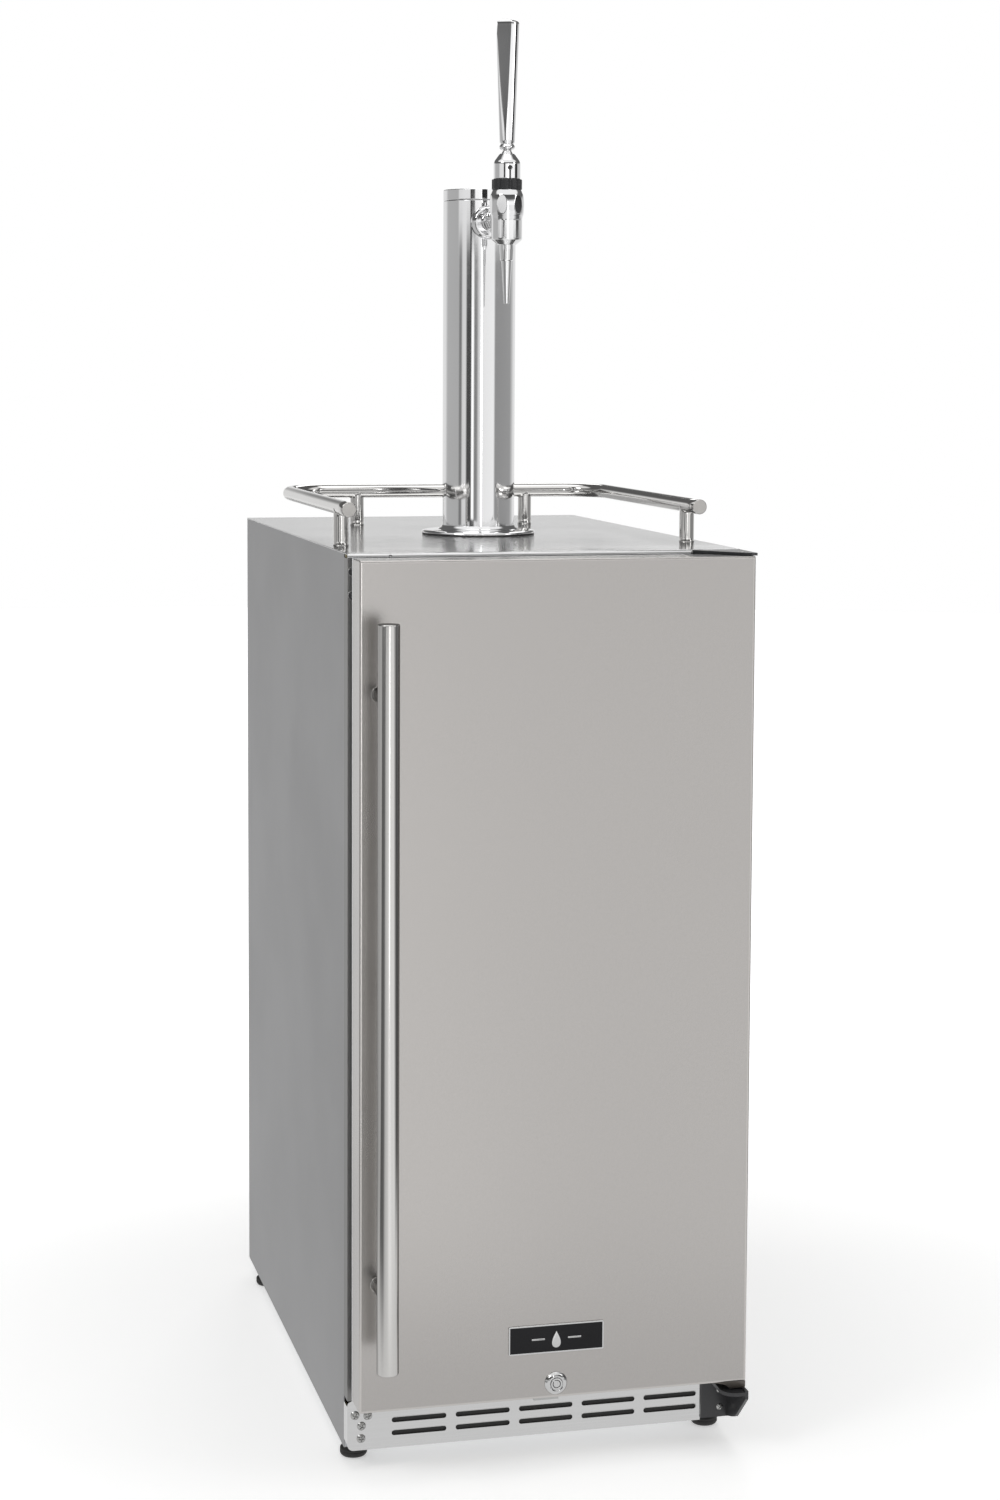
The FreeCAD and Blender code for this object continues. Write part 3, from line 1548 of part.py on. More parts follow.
def condenser_fan():
    """The blade wheel that pulls air through the condenser."""
    return fan_blade(condenser_fan_centre(), -1, condenser_fan_diameter, 5, 16.0, fan_shaft_diameter / 2)


def condenser_motor():
    """The condenser fan's motor on a bar across the shroud."""
    x, y, z = condenser_fan_centre()
    hub_back = y + 14.0
    base = side_bottom + sheet + top_sheet
    shaft = rod((x, y + 3.0, z), Y_AXIS, fan_shaft_diameter / 2, 14.0)
    motor = rod((x, hub_back + 1.0, z), Y_AXIS, 24.0, 36.0)
    post = block((x - 8, x + 8), (hub_back + 8.0, hub_back + 24.0), (base, z))
    return fuse_all([shaft, motor, post])


def condenser_coil():
    """Finned tubes in front of the condenser fan."""
    x, y, z = condenser_fan_centre()
    back = y - 6.0
    depth = 44.0
    base = side_bottom + sheet + top_sheet + 4.0
    fin_count = 14
    fin_pitch = 9.0
    start = x - (fin_count - 1) / 2 * fin_pitch
    end = start + (fin_count - 1) * fin_pitch
    fins = [
        block(
            (start + i * fin_pitch - 0.4, start + i * fin_pitch + 0.4), (back - depth, back),
            (base, base + 128)
        )
        for i in range(fin_count)
    ]
    tubes = []
    for row in range(5):
        for column in range(2):
            tube_y = back - depth / 2 + (column - 0.5) * 22
            tubes.append(
                rod((start - 8, tube_y, base + 14 + row * 25), X_AXIS, 4.0, (fin_count - 1) * fin_pitch + 16)
            )
    feet = [block((start - 8, start + 8), (back - depth + 8, back - 8), (base - 4, base + 4)),
            block((end - 8, end + 8), (back - depth + 8, back - 8), (base - 4, base + 4))]
    return fuse_all(fins + tubes + feet)


# ---- every node ----
keep("side_panel_left", side_panel(-1))
keep("side_panel_right", side_panel(1))
keep("top_panel", top_panel())
keep("front_frame", front_frame())
keep("hinge_hole_plugs", *hole_plugs())
keep("inner_liner", inner_liner())
keep("foam_insulation", insulation())
keep("back_panel", back_panel())
keep("rear_cover", rear_cover())
keep("power_inlet", power_inlet())
keep("base_pan", fuse_all([base_pan()] + foot_sockets()))
foot_names = ("foot_front_left", "foot_front_right", "foot_rear_left", "foot_rear_right")
for foot_name, (foot_x, foot_y) in zip(foot_names, foot_spots()):
    keep(foot_name, levelling_foot(foot_x, foot_y))
keep("kick_grille", kick_grille())
keep("front_screws", *grille_screws(), *hinge_screws(), hinge_washer())
keep("door_skin", door_skin())
keep("door_foam", door_foam())
keep("door_liner", door_liner())
keep("door_gasket", door_gasket())
keep("door_hinge_fittings", door_hinge_plate_top(), door_hinge_plate_bottom(), *hinge_bushes())
keep("bar_handle", bar_handle())
keep("handle_standoffs", *handle_standoffs(), *handle_screws())
keep("badge", badge_plate(), badge_frame())
keep("lock_barrel", lock_barrel())
keep("lock_plug", lock_plug())
keep("lock_strike", lock_strike())
keep("top_hinge_bracket", top_hinge_bracket())
keep("bottom_hinge_bracket", bottom_hinge_bracket())
keep("tower_gasket", tower_gasket())
keep("tower_flange", tower_flange())
keep("top_fasteners", *tower_studs(), *rail_bolts())
keep("tower_column", tower_column())
keep("tower_cap", tower_cap())
keep("tap_shank", shank())
keep("shank_flange", shank_flange())
keep("shank_nuts", shank_nut(), coupling_nut())
keep("tap_body", tap_body())
keep("tap_collar", tap_collar())
keep("tap_bonnet", tap_bonnet())
keep("tap_nozzle", tap_nozzle())
keep("tap_plunger", tap_plunger())
keep("tap_lever", tap_lever())
keep("guard_rail", guard_rail(), *rail_end_caps())
keep("rail_posts", *rail_posts())
keep("gas_line_grommet", gas_line_grommet())
keep("floor_plate", floor_plate())
keep("evaporator_cover", evaporator_cover())
keep("evaporator_coil", evaporator_coil())
keep("circulation_fan", circulation_fan())
keep("fan_motors", circulation_motor(), condenser_motor())
keep("control_housing", control_housing())
keep("control_windows", control_display(), lamp_lens())
button_names = ("button_colder", "button_warmer", "button_lamp")
for button_name, button_x in zip(button_names, button_places()):
    keep(button_name, control_button(button_x))
keep("compressor", compressor(), *compressor_mounts())
keep("condenser_fan", condenser_fan())
keep("condenser", condenser_coil(), fan_shroud())

os.makedirs("parts", exist_ok=True)
for name, solids in nodes.items():
    shape = solids[0] if len(solids) == 1 else Part.makeCompound(list(solids))
    shape.exportStep("parts/" + name + ".step")
print(len(nodes), "nodes written")
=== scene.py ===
# Kegerator: studio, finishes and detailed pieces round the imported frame. Metres, +Z up, front faces -Y.
import bpy
import bmesh
import json
import math
import numpy as np
from mathutils import Matrix, Vector


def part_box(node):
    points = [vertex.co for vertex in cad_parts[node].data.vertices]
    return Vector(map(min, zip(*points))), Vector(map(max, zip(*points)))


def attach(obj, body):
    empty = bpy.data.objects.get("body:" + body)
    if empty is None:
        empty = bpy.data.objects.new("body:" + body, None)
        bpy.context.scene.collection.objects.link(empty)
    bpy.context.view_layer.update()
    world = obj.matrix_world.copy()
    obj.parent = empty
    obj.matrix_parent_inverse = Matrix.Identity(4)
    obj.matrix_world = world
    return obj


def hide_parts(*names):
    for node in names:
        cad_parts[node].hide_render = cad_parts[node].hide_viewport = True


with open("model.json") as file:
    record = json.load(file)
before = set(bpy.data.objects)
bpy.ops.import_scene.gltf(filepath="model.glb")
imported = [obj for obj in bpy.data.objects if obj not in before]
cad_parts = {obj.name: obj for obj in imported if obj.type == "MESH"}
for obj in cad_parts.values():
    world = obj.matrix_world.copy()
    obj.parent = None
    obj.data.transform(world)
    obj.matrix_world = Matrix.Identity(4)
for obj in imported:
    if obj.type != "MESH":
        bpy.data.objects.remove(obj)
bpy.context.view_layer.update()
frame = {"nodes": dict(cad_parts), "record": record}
print("frame loaded:", len(frame["nodes"]), "nodes")
slotOfNode = {part["node"]: part["material_slot"] for part in frame["record"]["subparts"]}
scene = bpy.context.scene

# ---- camera ----
cameraSetup = dict(
    place=(-0.6692, -2.7521, 1.0396),
    yaw=0.2440,          # radians, turned from +Y towards +X
    pitch=0.0850,        # radians, looking down
    roll=0.0050,
    focalPixels=2794.6,
    principal=(500.1, 599.7),
    imageSize=(1000, 1500),
    sensor=36.0,
)


def makeCamera(s):
    forward = Vector((math.sin(s["yaw"]) * math.cos(s["pitch"]),
                      math.cos(s["yaw"]) * math.cos(s["pitch"]), -math.sin(s["pitch"])))
    right = Vector((math.cos(s["yaw"]), -math.sin(s["yaw"]), 0))
    up = right.cross(forward)
    rolledRight = right * math.cos(s["roll"]) + up * math.sin(s["roll"])
    rolledUp = up * math.cos(s["roll"]) - right * math.sin(s["roll"])
    data = bpy.data.cameras.new("camera")
    data.sensor_width = s["sensor"]
    width, height = s["imageSize"]
    data.lens = s["focalPixels"] * s["sensor"] / height
    data.shift_x = (width / 2 - s["principal"][0]) / height
    data.shift_y = (s["principal"][1] - height / 2) / height
    data.clip_end = 60
    camera = bpy.data.objects.new("camera", data)
    scene.collection.objects.link(camera)
    turn = Matrix((rolledRight, rolledUp, -forward)).transposed().to_4x4()
    camera.matrix_world = Matrix.Translation(Vector(s["place"])) @ turn
    scene.camera = camera


makeCamera(cameraSetup)

# ---- studio ----
studioSetup = dict(
    towardCamera=(-0.2342, -0.9722, 0.0),
    rightOfCamera=(0.9722, -0.2342, 0.0),
    # brightness round the room by share of a full turn, 0.5 is straight behind the camera
    roomBands=((0.00, 0.82), (0.13, 0.78), (0.17, 0.46), (0.31, 0.44), (0.322, 0.20), (0.338, 0.22), (0.350, 0.70),
               (0.380, 0.74), (0.394, 0.07), (0.430, 0.07), (0.438, 1.20), (0.452, 1.15), (0.462, 0.22),
               (0.482, 0.26), (0.495, 0.62), (0.512, 0.86), (0.635, 0.94), (0.650, 0.30), (0.83, 0.34),
               (0.90, 0.80), (1.0, 0.82)),
    # the same a little higher up, where black flags stand between the cards
    flagBands=((0.00, 0.82), (0.13, 0.78), (0.17, 0.46), (0.300, 0.44), (0.315, 0.78), (0.4175, 0.86),
               (0.421, 0.05), (0.455, 0.07), (0.466, 1.10), (0.690, 1.05), (0.706, 0.03), (0.772, 0.03),
               (0.786, 0.55), (1.0, 0.82)),
    flagsFrom=(0.038, 0.050),
    # what a steeper look down finds on the floor
    floorBands=((0.00, 0.82), (0.13, 0.78), (0.17, 0.46), (0.305, 0.46), (0.318, 0.06), (0.395, 0.08),
                (0.430, 0.55), (0.490, 0.76), (0.512, 1.00), (0.550, 0.98), (0.575, 0.86), (0.640, 0.90),
                (0.670, 0.50), (0.712, 0.05), (0.785, 0.06), (0.805, 0.45), (0.90, 0.80), (1.0, 0.82)),
    # brightness by height above the horizon (sine of the angle): dark ceiling with one soft box
    heightBands=((0.0, 1.0), (0.10, 1.0), (0.17, 0.12), (0.44, 0.07), (0.53, 0.95), (1.0, 0.95)),
    ceilingFrom=(0.096, 0.224),
    floorBandsFrom=(-0.11, -0.05),
    boxFrom=(-0.20, 0.05),
    boxBehind=0.12,      # the ceiling behind the object is dark, the soft box hangs in front
    backdrop=(1.0, 1.0, 1.0, 1.0),
    backdropLight=1.0,
    floorColour=(0.86, 0.86, 0.855, 1.0),
    floorRings=(0.5, 1.5, 4.0, 9.0),
    floorSides=96,
    floorDrop=0.0005,
    paperGlow=(0.44, 0.80),      # near the object, and where the paper runs into the backdrop
    glowFrom=(0.35, 1.7),
    mirroredNear=0.72,           # what metal sees of the paper close to the object
    mirroredFrom=(0.55, 1.1),    # from here outwards it sees the floor bands
    mirroredPaper=0.02,
)


def setInput(tree, socket, value):
    # a socket of another node is linked, anything else is the socket's own value
    if isinstance(value, bpy.types.NodeSocket):
        tree.links.new(value, socket)
    else:
        socket.default_value = value


def newGroup(name, inputs, outputs):
    group = bpy.data.node_groups.new(name, "ShaderNodeTree")
    for label, kind, value in inputs:
        socket = group.interface.new_socket(label, in_out="INPUT", socket_type="NodeSocket" + kind)
        if value is not None:
            socket.default_value = value
    for label, kind in outputs:
        group.interface.new_socket(label, in_out="OUTPUT", socket_type="NodeSocket" + kind)
    entry = group.nodes.new("NodeGroupInput")
    leave = group.nodes.new("NodeGroupOutput")
    return group, entry.outputs, leave.inputs


def mathNode(tree, operation, *values, clamp=False):
    node = tree.nodes.new("ShaderNodeMath")
    node.operation = operation
    node.use_clamp = clamp
    for socket, value in zip(node.inputs, values):
        setInput(tree, socket, value)
    return node.outputs[0]


def vectorNode(tree, operation, *values):
    node = tree.nodes.new("ShaderNodeVectorMath")
    node.operation = operation
    for socket, value in zip(node.inputs, values):
        setInput(tree, socket, value)
    return node.outputs["Value" if operation in ("DOT_PRODUCT", "LENGTH") else "Vector"]


def rampNode(tree, factor, rows):
    ramp = tree.nodes.new("ShaderNodeValToRGB")
    tree.links.new(factor, ramp.inputs["Fac"])
    bands = ramp.color_ramp
    while len(bands.elements) < len(rows):
        bands.elements.new(0.5)
    for element, (spot, light) in zip(bands.elements, rows):
        element.position = spot
        element.color = (light, light, light, 1)
    return ramp.outputs["Color"]


def blendNode(tree, factor, first, second):
    node = tree.nodes.new("ShaderNodeMix")
    node.data_type = "RGBA"
    for label, value in (("Factor", factor), ("A", first), ("B", second)):
        setInput(tree, node.inputs[label], value)
    return node.outputs["Result"]


def smoothStep(tree, value, low, high):
    node = tree.nodes.new("ShaderNodeMapRange")
    node.interpolation_type = "SMOOTHSTEP"
    tree.links.new(value, node.inputs["Value"])
    node.inputs["From Min"].default_value = low
    node.inputs["From Max"].default_value = high
    return node.outputs["Result"]


def makeRoomLight(s):
    # light by direction: bands by the angle round the room, then by the height above the horizon
    group, given, put = newGroup("roomLight", (("Vector", "Vector", None),), (("Light", "Color"),))

    def along(axis):
        return vectorNode(group, "DOT_PRODUCT", given["Vector"], axis)

    def bandsOf(rows):
        return rampNode(group, share, rows)

    angle = mathNode(group, "ARCTAN2", along(s["rightOfCamera"]), along(s["towardCamera"]))
    share = mathNode(group, "MULTIPLY_ADD", angle, 1 / (2 * math.pi), 0.5)
    height = along((0, 0, 1))
    flags = smoothStep(group, height, *s["flagsFrom"])
    bands = blendNode(group, flags, bandsOf(s["roomBands"]), bandsOf(s["flagBands"]))
    above = smoothStep(group, height, *s["floorBandsFrom"])
    bands = blendNode(group, above, bandsOf(s["floorBands"]), bands)
    ahead = smoothStep(group, along(s["towardCamera"]), *s["boxFrom"])
    behind = (s["boxBehind"],) * 3 + (1,)
    ceiling = blendNode(group, ahead, behind, rampNode(group, height, s["heightBands"]))
    lift = smoothStep(group, height, *s["ceilingFrom"])
    group.links.new(blendNode(group, lift, bands, ceiling), put["Light"])
    return group


roomLight = makeRoomLight(studioSetup)


def roomLightNode(tree, vector):
    node = tree.nodes.new("ShaderNodeGroup")
    node.node_tree = roomLight
    tree.links.new(vector, node.inputs["Vector"])
    return node.outputs["Light"]


def makeWorld(s):
    world = bpy.data.worlds.new("studio")
    scene.world = world
    world.use_nodes = True
    tree = world.node_tree
    tree.nodes.clear()
    link = tree.links.new
    coords = tree.nodes.new("ShaderNodeTexCoord")
    room = tree.nodes.new("ShaderNodeBackground")
    link(roomLightNode(tree, coords.outputs["Generated"]), room.inputs["Color"])
    white = tree.nodes.new("ShaderNodeBackground")
    white.inputs["Color"].default_value = s["backdrop"]
    white.inputs["Strength"].default_value = s["backdropLight"]
    path = tree.nodes.new("ShaderNodeLightPath")
    choose = tree.nodes.new("ShaderNodeMixShader")
    link(path.outputs["Is Camera Ray"], choose.inputs["Fac"])
    link(room.outputs[0], choose.inputs[1])
    link(white.outputs[0], choose.inputs[2])
    output = tree.nodes.new("ShaderNodeOutputWorld")
    link(choose.outputs[0], output.inputs["Surface"])


makeWorld(studioSetup)

lampSetup = (
    # name, place, aimed at, width, height, watts
    ("keyLamp", (-2.6, -1.6, 2.9), (0.0, 0.0, 0.6), 1.0, 1.0, 16.0),
    ("fillLamp", (2.9, -2.2, 2.2), (0.0, 0.0, 0.6), 0.8, 1.4, 9.0),
    ("topLamp", (0.0, 0.2, 3.8), (0.0, 0.1, 0.8), 2.0, 2.0, 14.0),
    ("backLamp", (0.9, 3.0, 2.6), (0.0, 0.2, 0.6), 1.2, 1.2, 10.0),
    ("cabinLamp", (0.0, -0.13, 0.785), (0.0, 0.0, 0.2), 0.12, 0.04, 0.7),
    ("barStrip", (-0.20, -2.35, 0.75), (-0.17, -0.34, 0.45), 0.16, 1.5, 1.6),
)


def makeLamps(rows):
    for name, place, aim, width, height, watts in rows:
        data = bpy.data.lights.new(name, "AREA")
        data.shape = "RECTANGLE"
        data.size = width
        data.size_y = height
        data.energy = watts
        lamp = bpy.data.objects.new(name, data)
        lamp.location = place
        lamp.rotation_euler = (Vector(aim) - Vector(place)).to_track_quat("-Z", "Y").to_euler()
        lamp.visible_camera = False
        scene.collection.objects.link(lamp)


makeLamps(lampSetup)
scene.view_settings.view_transform = "Standard"
print("camera and studio ready")

# ---- shared effects ----


def noiseNode(group, vector, scale, detail=2.0, roughness=0.5):
    node = group.nodes.new("ShaderNodeTexNoise")
    group.links.new(vector, node.inputs["Vector"])
    setInput(group, node.inputs["Scale"], scale)
    node.inputs["Detail"].default_value = detail
    node.inputs["Roughness"].default_value = roughness
    return node.outputs["Fac"]


def cellNode(group, given):
    node = group.nodes.new("ShaderNodeTexVoronoi")
    group.links.new(given["Vector"], node.inputs["Vector"])
    group.links.new(given["Scale"], node.inputs["Scale"])
    return node.outputs


def makeBrushedGrain():
    # streaks: noise on coordinates squeezed along the brushing, plus slow patches of tone
    group, given, put = newGroup("brushedGrain", (
        ("Vector", "Vector", None), ("Squeeze", "Vector", (900.0, 900.0, 9.0)), ("Contrast", "Float", 0.5)),
        (("Streak", "Float"), ("Patch", "Float"), ("Tone", "Float")))
    squeezed = vectorNode(group, "MULTIPLY", given["Vector"], given["Squeeze"])
    streak = noiseNode(group, squeezed, 1.0, 3.0, 0.6)
    patch = noiseNode(group, given["Vector"], 5.5)
    centred = mathNode(group, "SUBTRACT", streak, 0.5)
    group.links.new(streak, put["Streak"])
    group.links.new(patch, put["Patch"])
    group.links.new(mathNode(group, "MULTIPLY_ADD", centred, given["Contrast"], 0.5, clamp=True), put["Tone"])
    return group


def makeHandMarks():
    # soft smears of polish and handling: two slow noises multiplied and lifted
    group, given, put = newGroup("handMarks", (
        ("Vector", "Vector", None), ("Size", "Float", 9.0), ("Amount", "Float", 0.1)), (("Mask", "Float"),))
    broad = noiseNode(group, given["Vector"], given["Size"], 3.0, 0.55)
    lifted = mathNode(group, "MULTIPLY_ADD", broad, 3.0, -1.1, clamp=True)
    group.links.new(mathNode(group, "MULTIPLY", lifted, given["Amount"]), put["Mask"])
    return group


def makeMouldedSkin():
    # fine pebble of a moulded surface: cell distance blended with noise
    group, given, put = newGroup("mouldedSkin", (
        ("Vector", "Vector", None), ("Scale", "Float", 900.0)), (("Height", "Float"), ("Tone", "Float")))
    noise = noiseNode(group, given["Vector"], given["Scale"])
    group.links.new(mathNode(group, "MULTIPLY", cellNode(group, given)["Distance"], noise), put["Height"])
    group.links.new(noiseNode(group, given["Vector"], 14.0), put["Tone"])
    return group


def makeDust():
    # sparse specks and a thin veil: cells whose centres are near, times a slow noise
    group, given, put = newGroup("fineDust", (
        ("Vector", "Vector", None), ("Scale", "Float", 420.0), ("Amount", "Float", 0.25)), (("Mask", "Float"),))
    speck = mathNode(group, "LESS_THAN", cellNode(group, given)["Distance"], 0.16)
    veil = noiseNode(group, given["Vector"], 21.0, 3.0, 0.6)
    both = mathNode(group, "MULTIPLY", speck, mathNode(group, "POWER", veil, 2.0))
    group.links.new(mathNode(group, "MULTIPLY", both, given["Amount"]), put["Mask"])
    return group


def makeZincFlakes():
    # zinc crystals: each cell of a warped cell pattern has its own tone, its rim slightly raised
    group, given, put = newGroup("zincFlakes", (
        ("Vector", "Vector", None), ("Scale", "Float", 95.0)), (("Tone", "Float"), ("Height", "Float")))
    cells = cellNode(group, given)
    parts = group.nodes.new("ShaderNodeSeparateColor")
    group.links.new(cells["Color"], parts.inputs["Color"])
    fine = noiseNode(group, given["Vector"], 420.0, 3.0, 0.6)
    cloud = noiseNode(group, given["Vector"], 5.0)
    mixed = mathNode(group, "MULTIPLY_ADD", fine, 0.25, mathNode(group, "MULTIPLY", parts.outputs[0], 0.42))
    group.links.new(mathNode(group, "MULTIPLY_ADD", cloud, 0.30, mixed, clamp=True), put["Tone"])
    group.links.new(cells["Distance"], put["Height"])
    return group


zincFlakes = makeZincFlakes()
brushedGrain = makeBrushedGrain()
handMarks = makeHandMarks()
mouldedSkin = makeMouldedSkin()
fineDust = makeDust()


def useGroup(tree, group, vector, **values):
    node = tree.nodes.new("ShaderNodeGroup")
    node.node_tree = group
    tree.links.new(vector, node.inputs["Vector"])
    for label, value in values.items():
        node.inputs[label].default_value = value
    return node.outputs


def startMaterial(name):
    material = bpy.data.materials.new(name)
    material.use_nodes = True
    tree = material.node_tree
    shader = tree.nodes["Principled BSDF"]
    coords = tree.nodes.new("ShaderNodeTexCoord")
    return material, tree, shader, coords.outputs["Object"]


def opaque(colour, brighter=1.0):
    return (*(min(1.0, part * brighter) for part in colour), 1)


def spread(tree, factor, low, high):
    node = tree.nodes.new("ShaderNodeMapRange")
    tree.links.new(factor, node.inputs["Value"])
    node.inputs["To Min"].default_value = low
    node.inputs["To Max"].default_value = high
    return node.outputs["Result"]


def bumpFrom(tree, height, shader, strength, distance):
    node = tree.nodes.new("ShaderNodeBump")
    node.inputs["Strength"].default_value = strength
    node.inputs["Distance"].default_value = distance
    tree.links.new(height, node.inputs["Height"])
    tree.links.new(node.outputs["Normal"], shader.inputs["Normal"])


def brushedSteel(name, dark, light, rough, squeeze, contrast=0.6, bump=0.06, marks=0.06, edge=1.0):
    material, tree, shader, where = startMaterial(name)
    grain = useGroup(tree, brushedGrain, where, Squeeze=squeeze, Contrast=contrast)
    smear = useGroup(tree, handMarks, where, Size=7.0, Amount=marks)
    # painted highlight: rounded edges, where a piece marks them, are painted brighter as if catching the light
    highlitEdge = tree.nodes.new("ShaderNodeAttribute")
    highlitEdge.attribute_name = "rim"
    edgeHighlight = mathNode(tree, "MULTIPLY", highlitEdge.outputs["Fac"], 0.55)
    base = blendNode(tree, grain["Tone"], opaque(dark), opaque(light))
    tree.links.new(blendNode(tree, edgeHighlight, base, opaque(light, 1.35)), shader.inputs["Base Color"])
    tree.links.new(mathNode(tree, "ADD", spread(tree, grain["Streak"], *rough), smear["Mask"]),
                   shader.inputs["Roughness"])
    shader.inputs["Metallic"].default_value = 1.0
    shader.inputs["Specular Tint"].default_value = (edge, edge, edge, 1)
    bumpFrom(tree, grain["Streak"], shader, bump, 0.0004)
    return material


def polishedMetal(name, dark, light, rough, marks=0.05, bump=0.0, squeeze=(60.0, 60.0, 60.0), edge=1.0):
    material, tree, shader, where = startMaterial(name)
    grain = useGroup(tree, brushedGrain, where, Squeeze=squeeze, Contrast=0.8)
    smear = useGroup(tree, handMarks, where, Size=38.0, Amount=marks)
    tree.links.new(blendNode(tree, grain["Patch"], opaque(dark), opaque(light)), shader.inputs["Base Color"])
    tree.links.new(mathNode(tree, "ADD", spread(tree, grain["Streak"], *rough), smear["Mask"]),
                   shader.inputs["Roughness"])
    shader.inputs["Metallic"].default_value = 1.0
    shader.inputs["Specular Tint"].default_value = (edge, edge, edge, 1)
    if bump:
        bumpFrom(tree, grain["Streak"], shader, bump, 0.0003)
    return material


def mouldedPlastic(name, dark, light, rough, scale=900.0, bump=0.12, dust=0.15, coat=0.0, specular=0.5):
    material, tree, shader, where = startMaterial(name)
    skin = useGroup(tree, mouldedSkin, where, Scale=scale)
    specks = useGroup(tree, fineDust, where, Amount=dust)
    base = blendNode(tree, skin["Tone"], opaque(dark), opaque(light))
    dusty = opaque([0.35 + part * 0.65 for part in light])
    tree.links.new(blendNode(tree, specks["Mask"], base, dusty), shader.inputs["Base Color"])
    tree.links.new(spread(tree, skin["Tone"], *rough), shader.inputs["Roughness"])
    shader.inputs["Coat Weight"].default_value = coat
    shader.inputs["Specular IOR Level"].default_value = specular
    bumpFrom(tree, skin["Height"], shader, bump, 0.0004)
    return material


def zincSheet(name, dark, light, rough):
    material, tree, shader, where = startMaterial(name)
    flakes = useGroup(tree, zincFlakes, where, Scale=95.0)
    smear = useGroup(tree, handMarks, where, Size=6.0, Amount=0.10)
    tree.links.new(blendNode(tree, flakes["Tone"], opaque(dark), opaque(light)), shader.inputs["Base Color"])
    tree.links.new(mathNode(tree, "ADD", spread(tree, flakes["Tone"], *rough), smear["Mask"]),
                   shader.inputs["Roughness"])
    shader.inputs["Metallic"].default_value = 1.0
    bumpFrom(tree, flakes["Height"], shader, 0.05, 0.0003)
    return material


upright = (1400.0, 1400.0, 7.0)      # brushed from floor to top
acrossX = (7.0, 1400.0, 1400.0)      # brushed from side to side

finishes = {
    "side_steel": brushedSteel("sideSteel", (0.315, 0.315, 0.32), (0.455, 0.455, 0.46), (0.42, 0.52),
                               (520.0, 520.0, 460.0), 0.5, 0.10, 0.04),
    "door_steel": brushedSteel("doorSteel", (0.415, 0.400, 0.386), (0.565, 0.545, 0.527), (0.20, 0.26),
                               (900.0, 900.0, 420.0), 0.45, 0.05, 0.03),
    "top_steel": brushedSteel("topSteel", (0.60, 0.60, 0.60), (0.78, 0.78, 0.78), (0.10, 0.17),
                              (9.0, 900.0, 900.0), 0.5, 0.03, 0.05),
    "handle_steel": brushedSteel("handleSteel", (0.58, 0.57, 0.555), (0.76, 0.75, 0.735), (0.09, 0.13),
                                 (600.0, 600.0, 2600.0), 0.5, 0.03, 0.02, 0.25),
    "chrome": polishedMetal("chrome", (0.84, 0.84, 0.85), (0.92, 0.92, 0.92), (0.03, 0.06), 0.03),
    "rail_steel": polishedMetal("railSteel", (0.64, 0.63, 0.615), (0.77, 0.76, 0.745), (0.05, 0.09), 0.03,
                                0.02, (300.0, 300.0, 300.0)),
    "black_plastic": mouldedPlastic("blackPlastic", (0.012, 0.012, 0.013), (0.03, 0.03, 0.032), (0.30, 0.45)),
    "black_rubber": mouldedPlastic("blackRubber", (0.010, 0.010, 0.010), (0.028, 0.027, 0.026), (0.55, 0.75),
                                   700.0),
    "seal_grey": mouldedPlastic("sealGrey", (0.05, 0.05, 0.053), (0.11, 0.11, 0.113), (0.55, 0.70), 800.0),
    "black_steel": mouldedPlastic("blackSteel", (0.012, 0.012, 0.014), (0.035, 0.035, 0.038), (0.28, 0.42), 1500.0,
                                  0.08, 0.12, 0.25),
    # painted shade and painted reflection: the hinge fittings' steel is given a dark brown for the shade under the
    # door and the floor it mirrors
    "hinge_fittings": mouldedPlastic("hingeFittingsShaded", (0.07, 0.062, 0.054), (0.15, 0.135, 0.12), (0.35, 0.5),
                                     1300.0, 0.08, 0.1),
    "fastener_steel": polishedMetal("fastenerSteel", (0.40, 0.40, 0.395), (0.60, 0.60, 0.59), (0.18, 0.28), 0.05,
                                    0.05, (900.0, 900.0, 900.0)),
    "lock_chrome": polishedMetal("lockChrome", (0.60, 0.60, 0.60), (0.74, 0.74, 0.74), (0.08, 0.13), 0.04),
    "badge_plate": mouldedPlastic("badgeEnamel", (0.006, 0.006, 0.007), (0.016, 0.016, 0.018), (0.30, 0.40), 1500.0,
                                  0.02, 0.08, 0.0, 0.18),
    "white_liner": mouldedPlastic("whiteLiner", (0.80, 0.81, 0.82), (0.84, 0.85, 0.855), (0.22, 0.32), 420.0, 0.05,
                                  0.05, 0.15),
    "foam": mouldedPlastic("foam", (0.62, 0.55, 0.34), (0.80, 0.73, 0.52), (0.85, 0.95), 380.0, 0.6, 0.0),
    "grey_plastic": mouldedPlastic("greyPlastic", (0.50, 0.51, 0.52), (0.60, 0.61, 0.62), (0.35, 0.45), 900.0),
    "fan_plastic": mouldedPlastic("fanPlastic", (0.016, 0.016, 0.018), (0.04, 0.04, 0.042), (0.35, 0.5), 900.0),
    "dark_window": mouldedPlastic("darkWindow", (0.008, 0.010, 0.014), (0.016, 0.019, 0.026), (0.06, 0.12), 1500.0,
                                  0.01, 0.05, 0.5),
    "button_plastic": mouldedPlastic("buttonPlastic", (0.045, 0.047, 0.05), (0.075, 0.078, 0.082), (0.35, 0.5),
                                     1300.0),
    "galvanised": zincSheet("galvanised", (0.42, 0.43, 0.44), (0.60, 0.61, 0.62), (0.32, 0.46)),
    "floor_steel": brushedSteel("floorSteel", (0.50, 0.50, 0.50), (0.66, 0.66, 0.66), (0.22, 0.32), acrossX),
    "coil_aluminium": brushedSteel("coilAluminium", (0.66, 0.67, 0.68), (0.80, 0.81, 0.82), (0.28, 0.38), upright),
    "condenser_metal": brushedSteel("condenserMetal", (0.05, 0.05, 0.055), (0.11, 0.11, 0.115), (0.40, 0.55),
                                    upright, 0.8),
    "motor_metal": brushedSteel("motorMetal", (0.10, 0.10, 0.105), (0.20, 0.20, 0.205), (0.35, 0.48),
                                (300.0, 300.0, 300.0), 0.9),
}
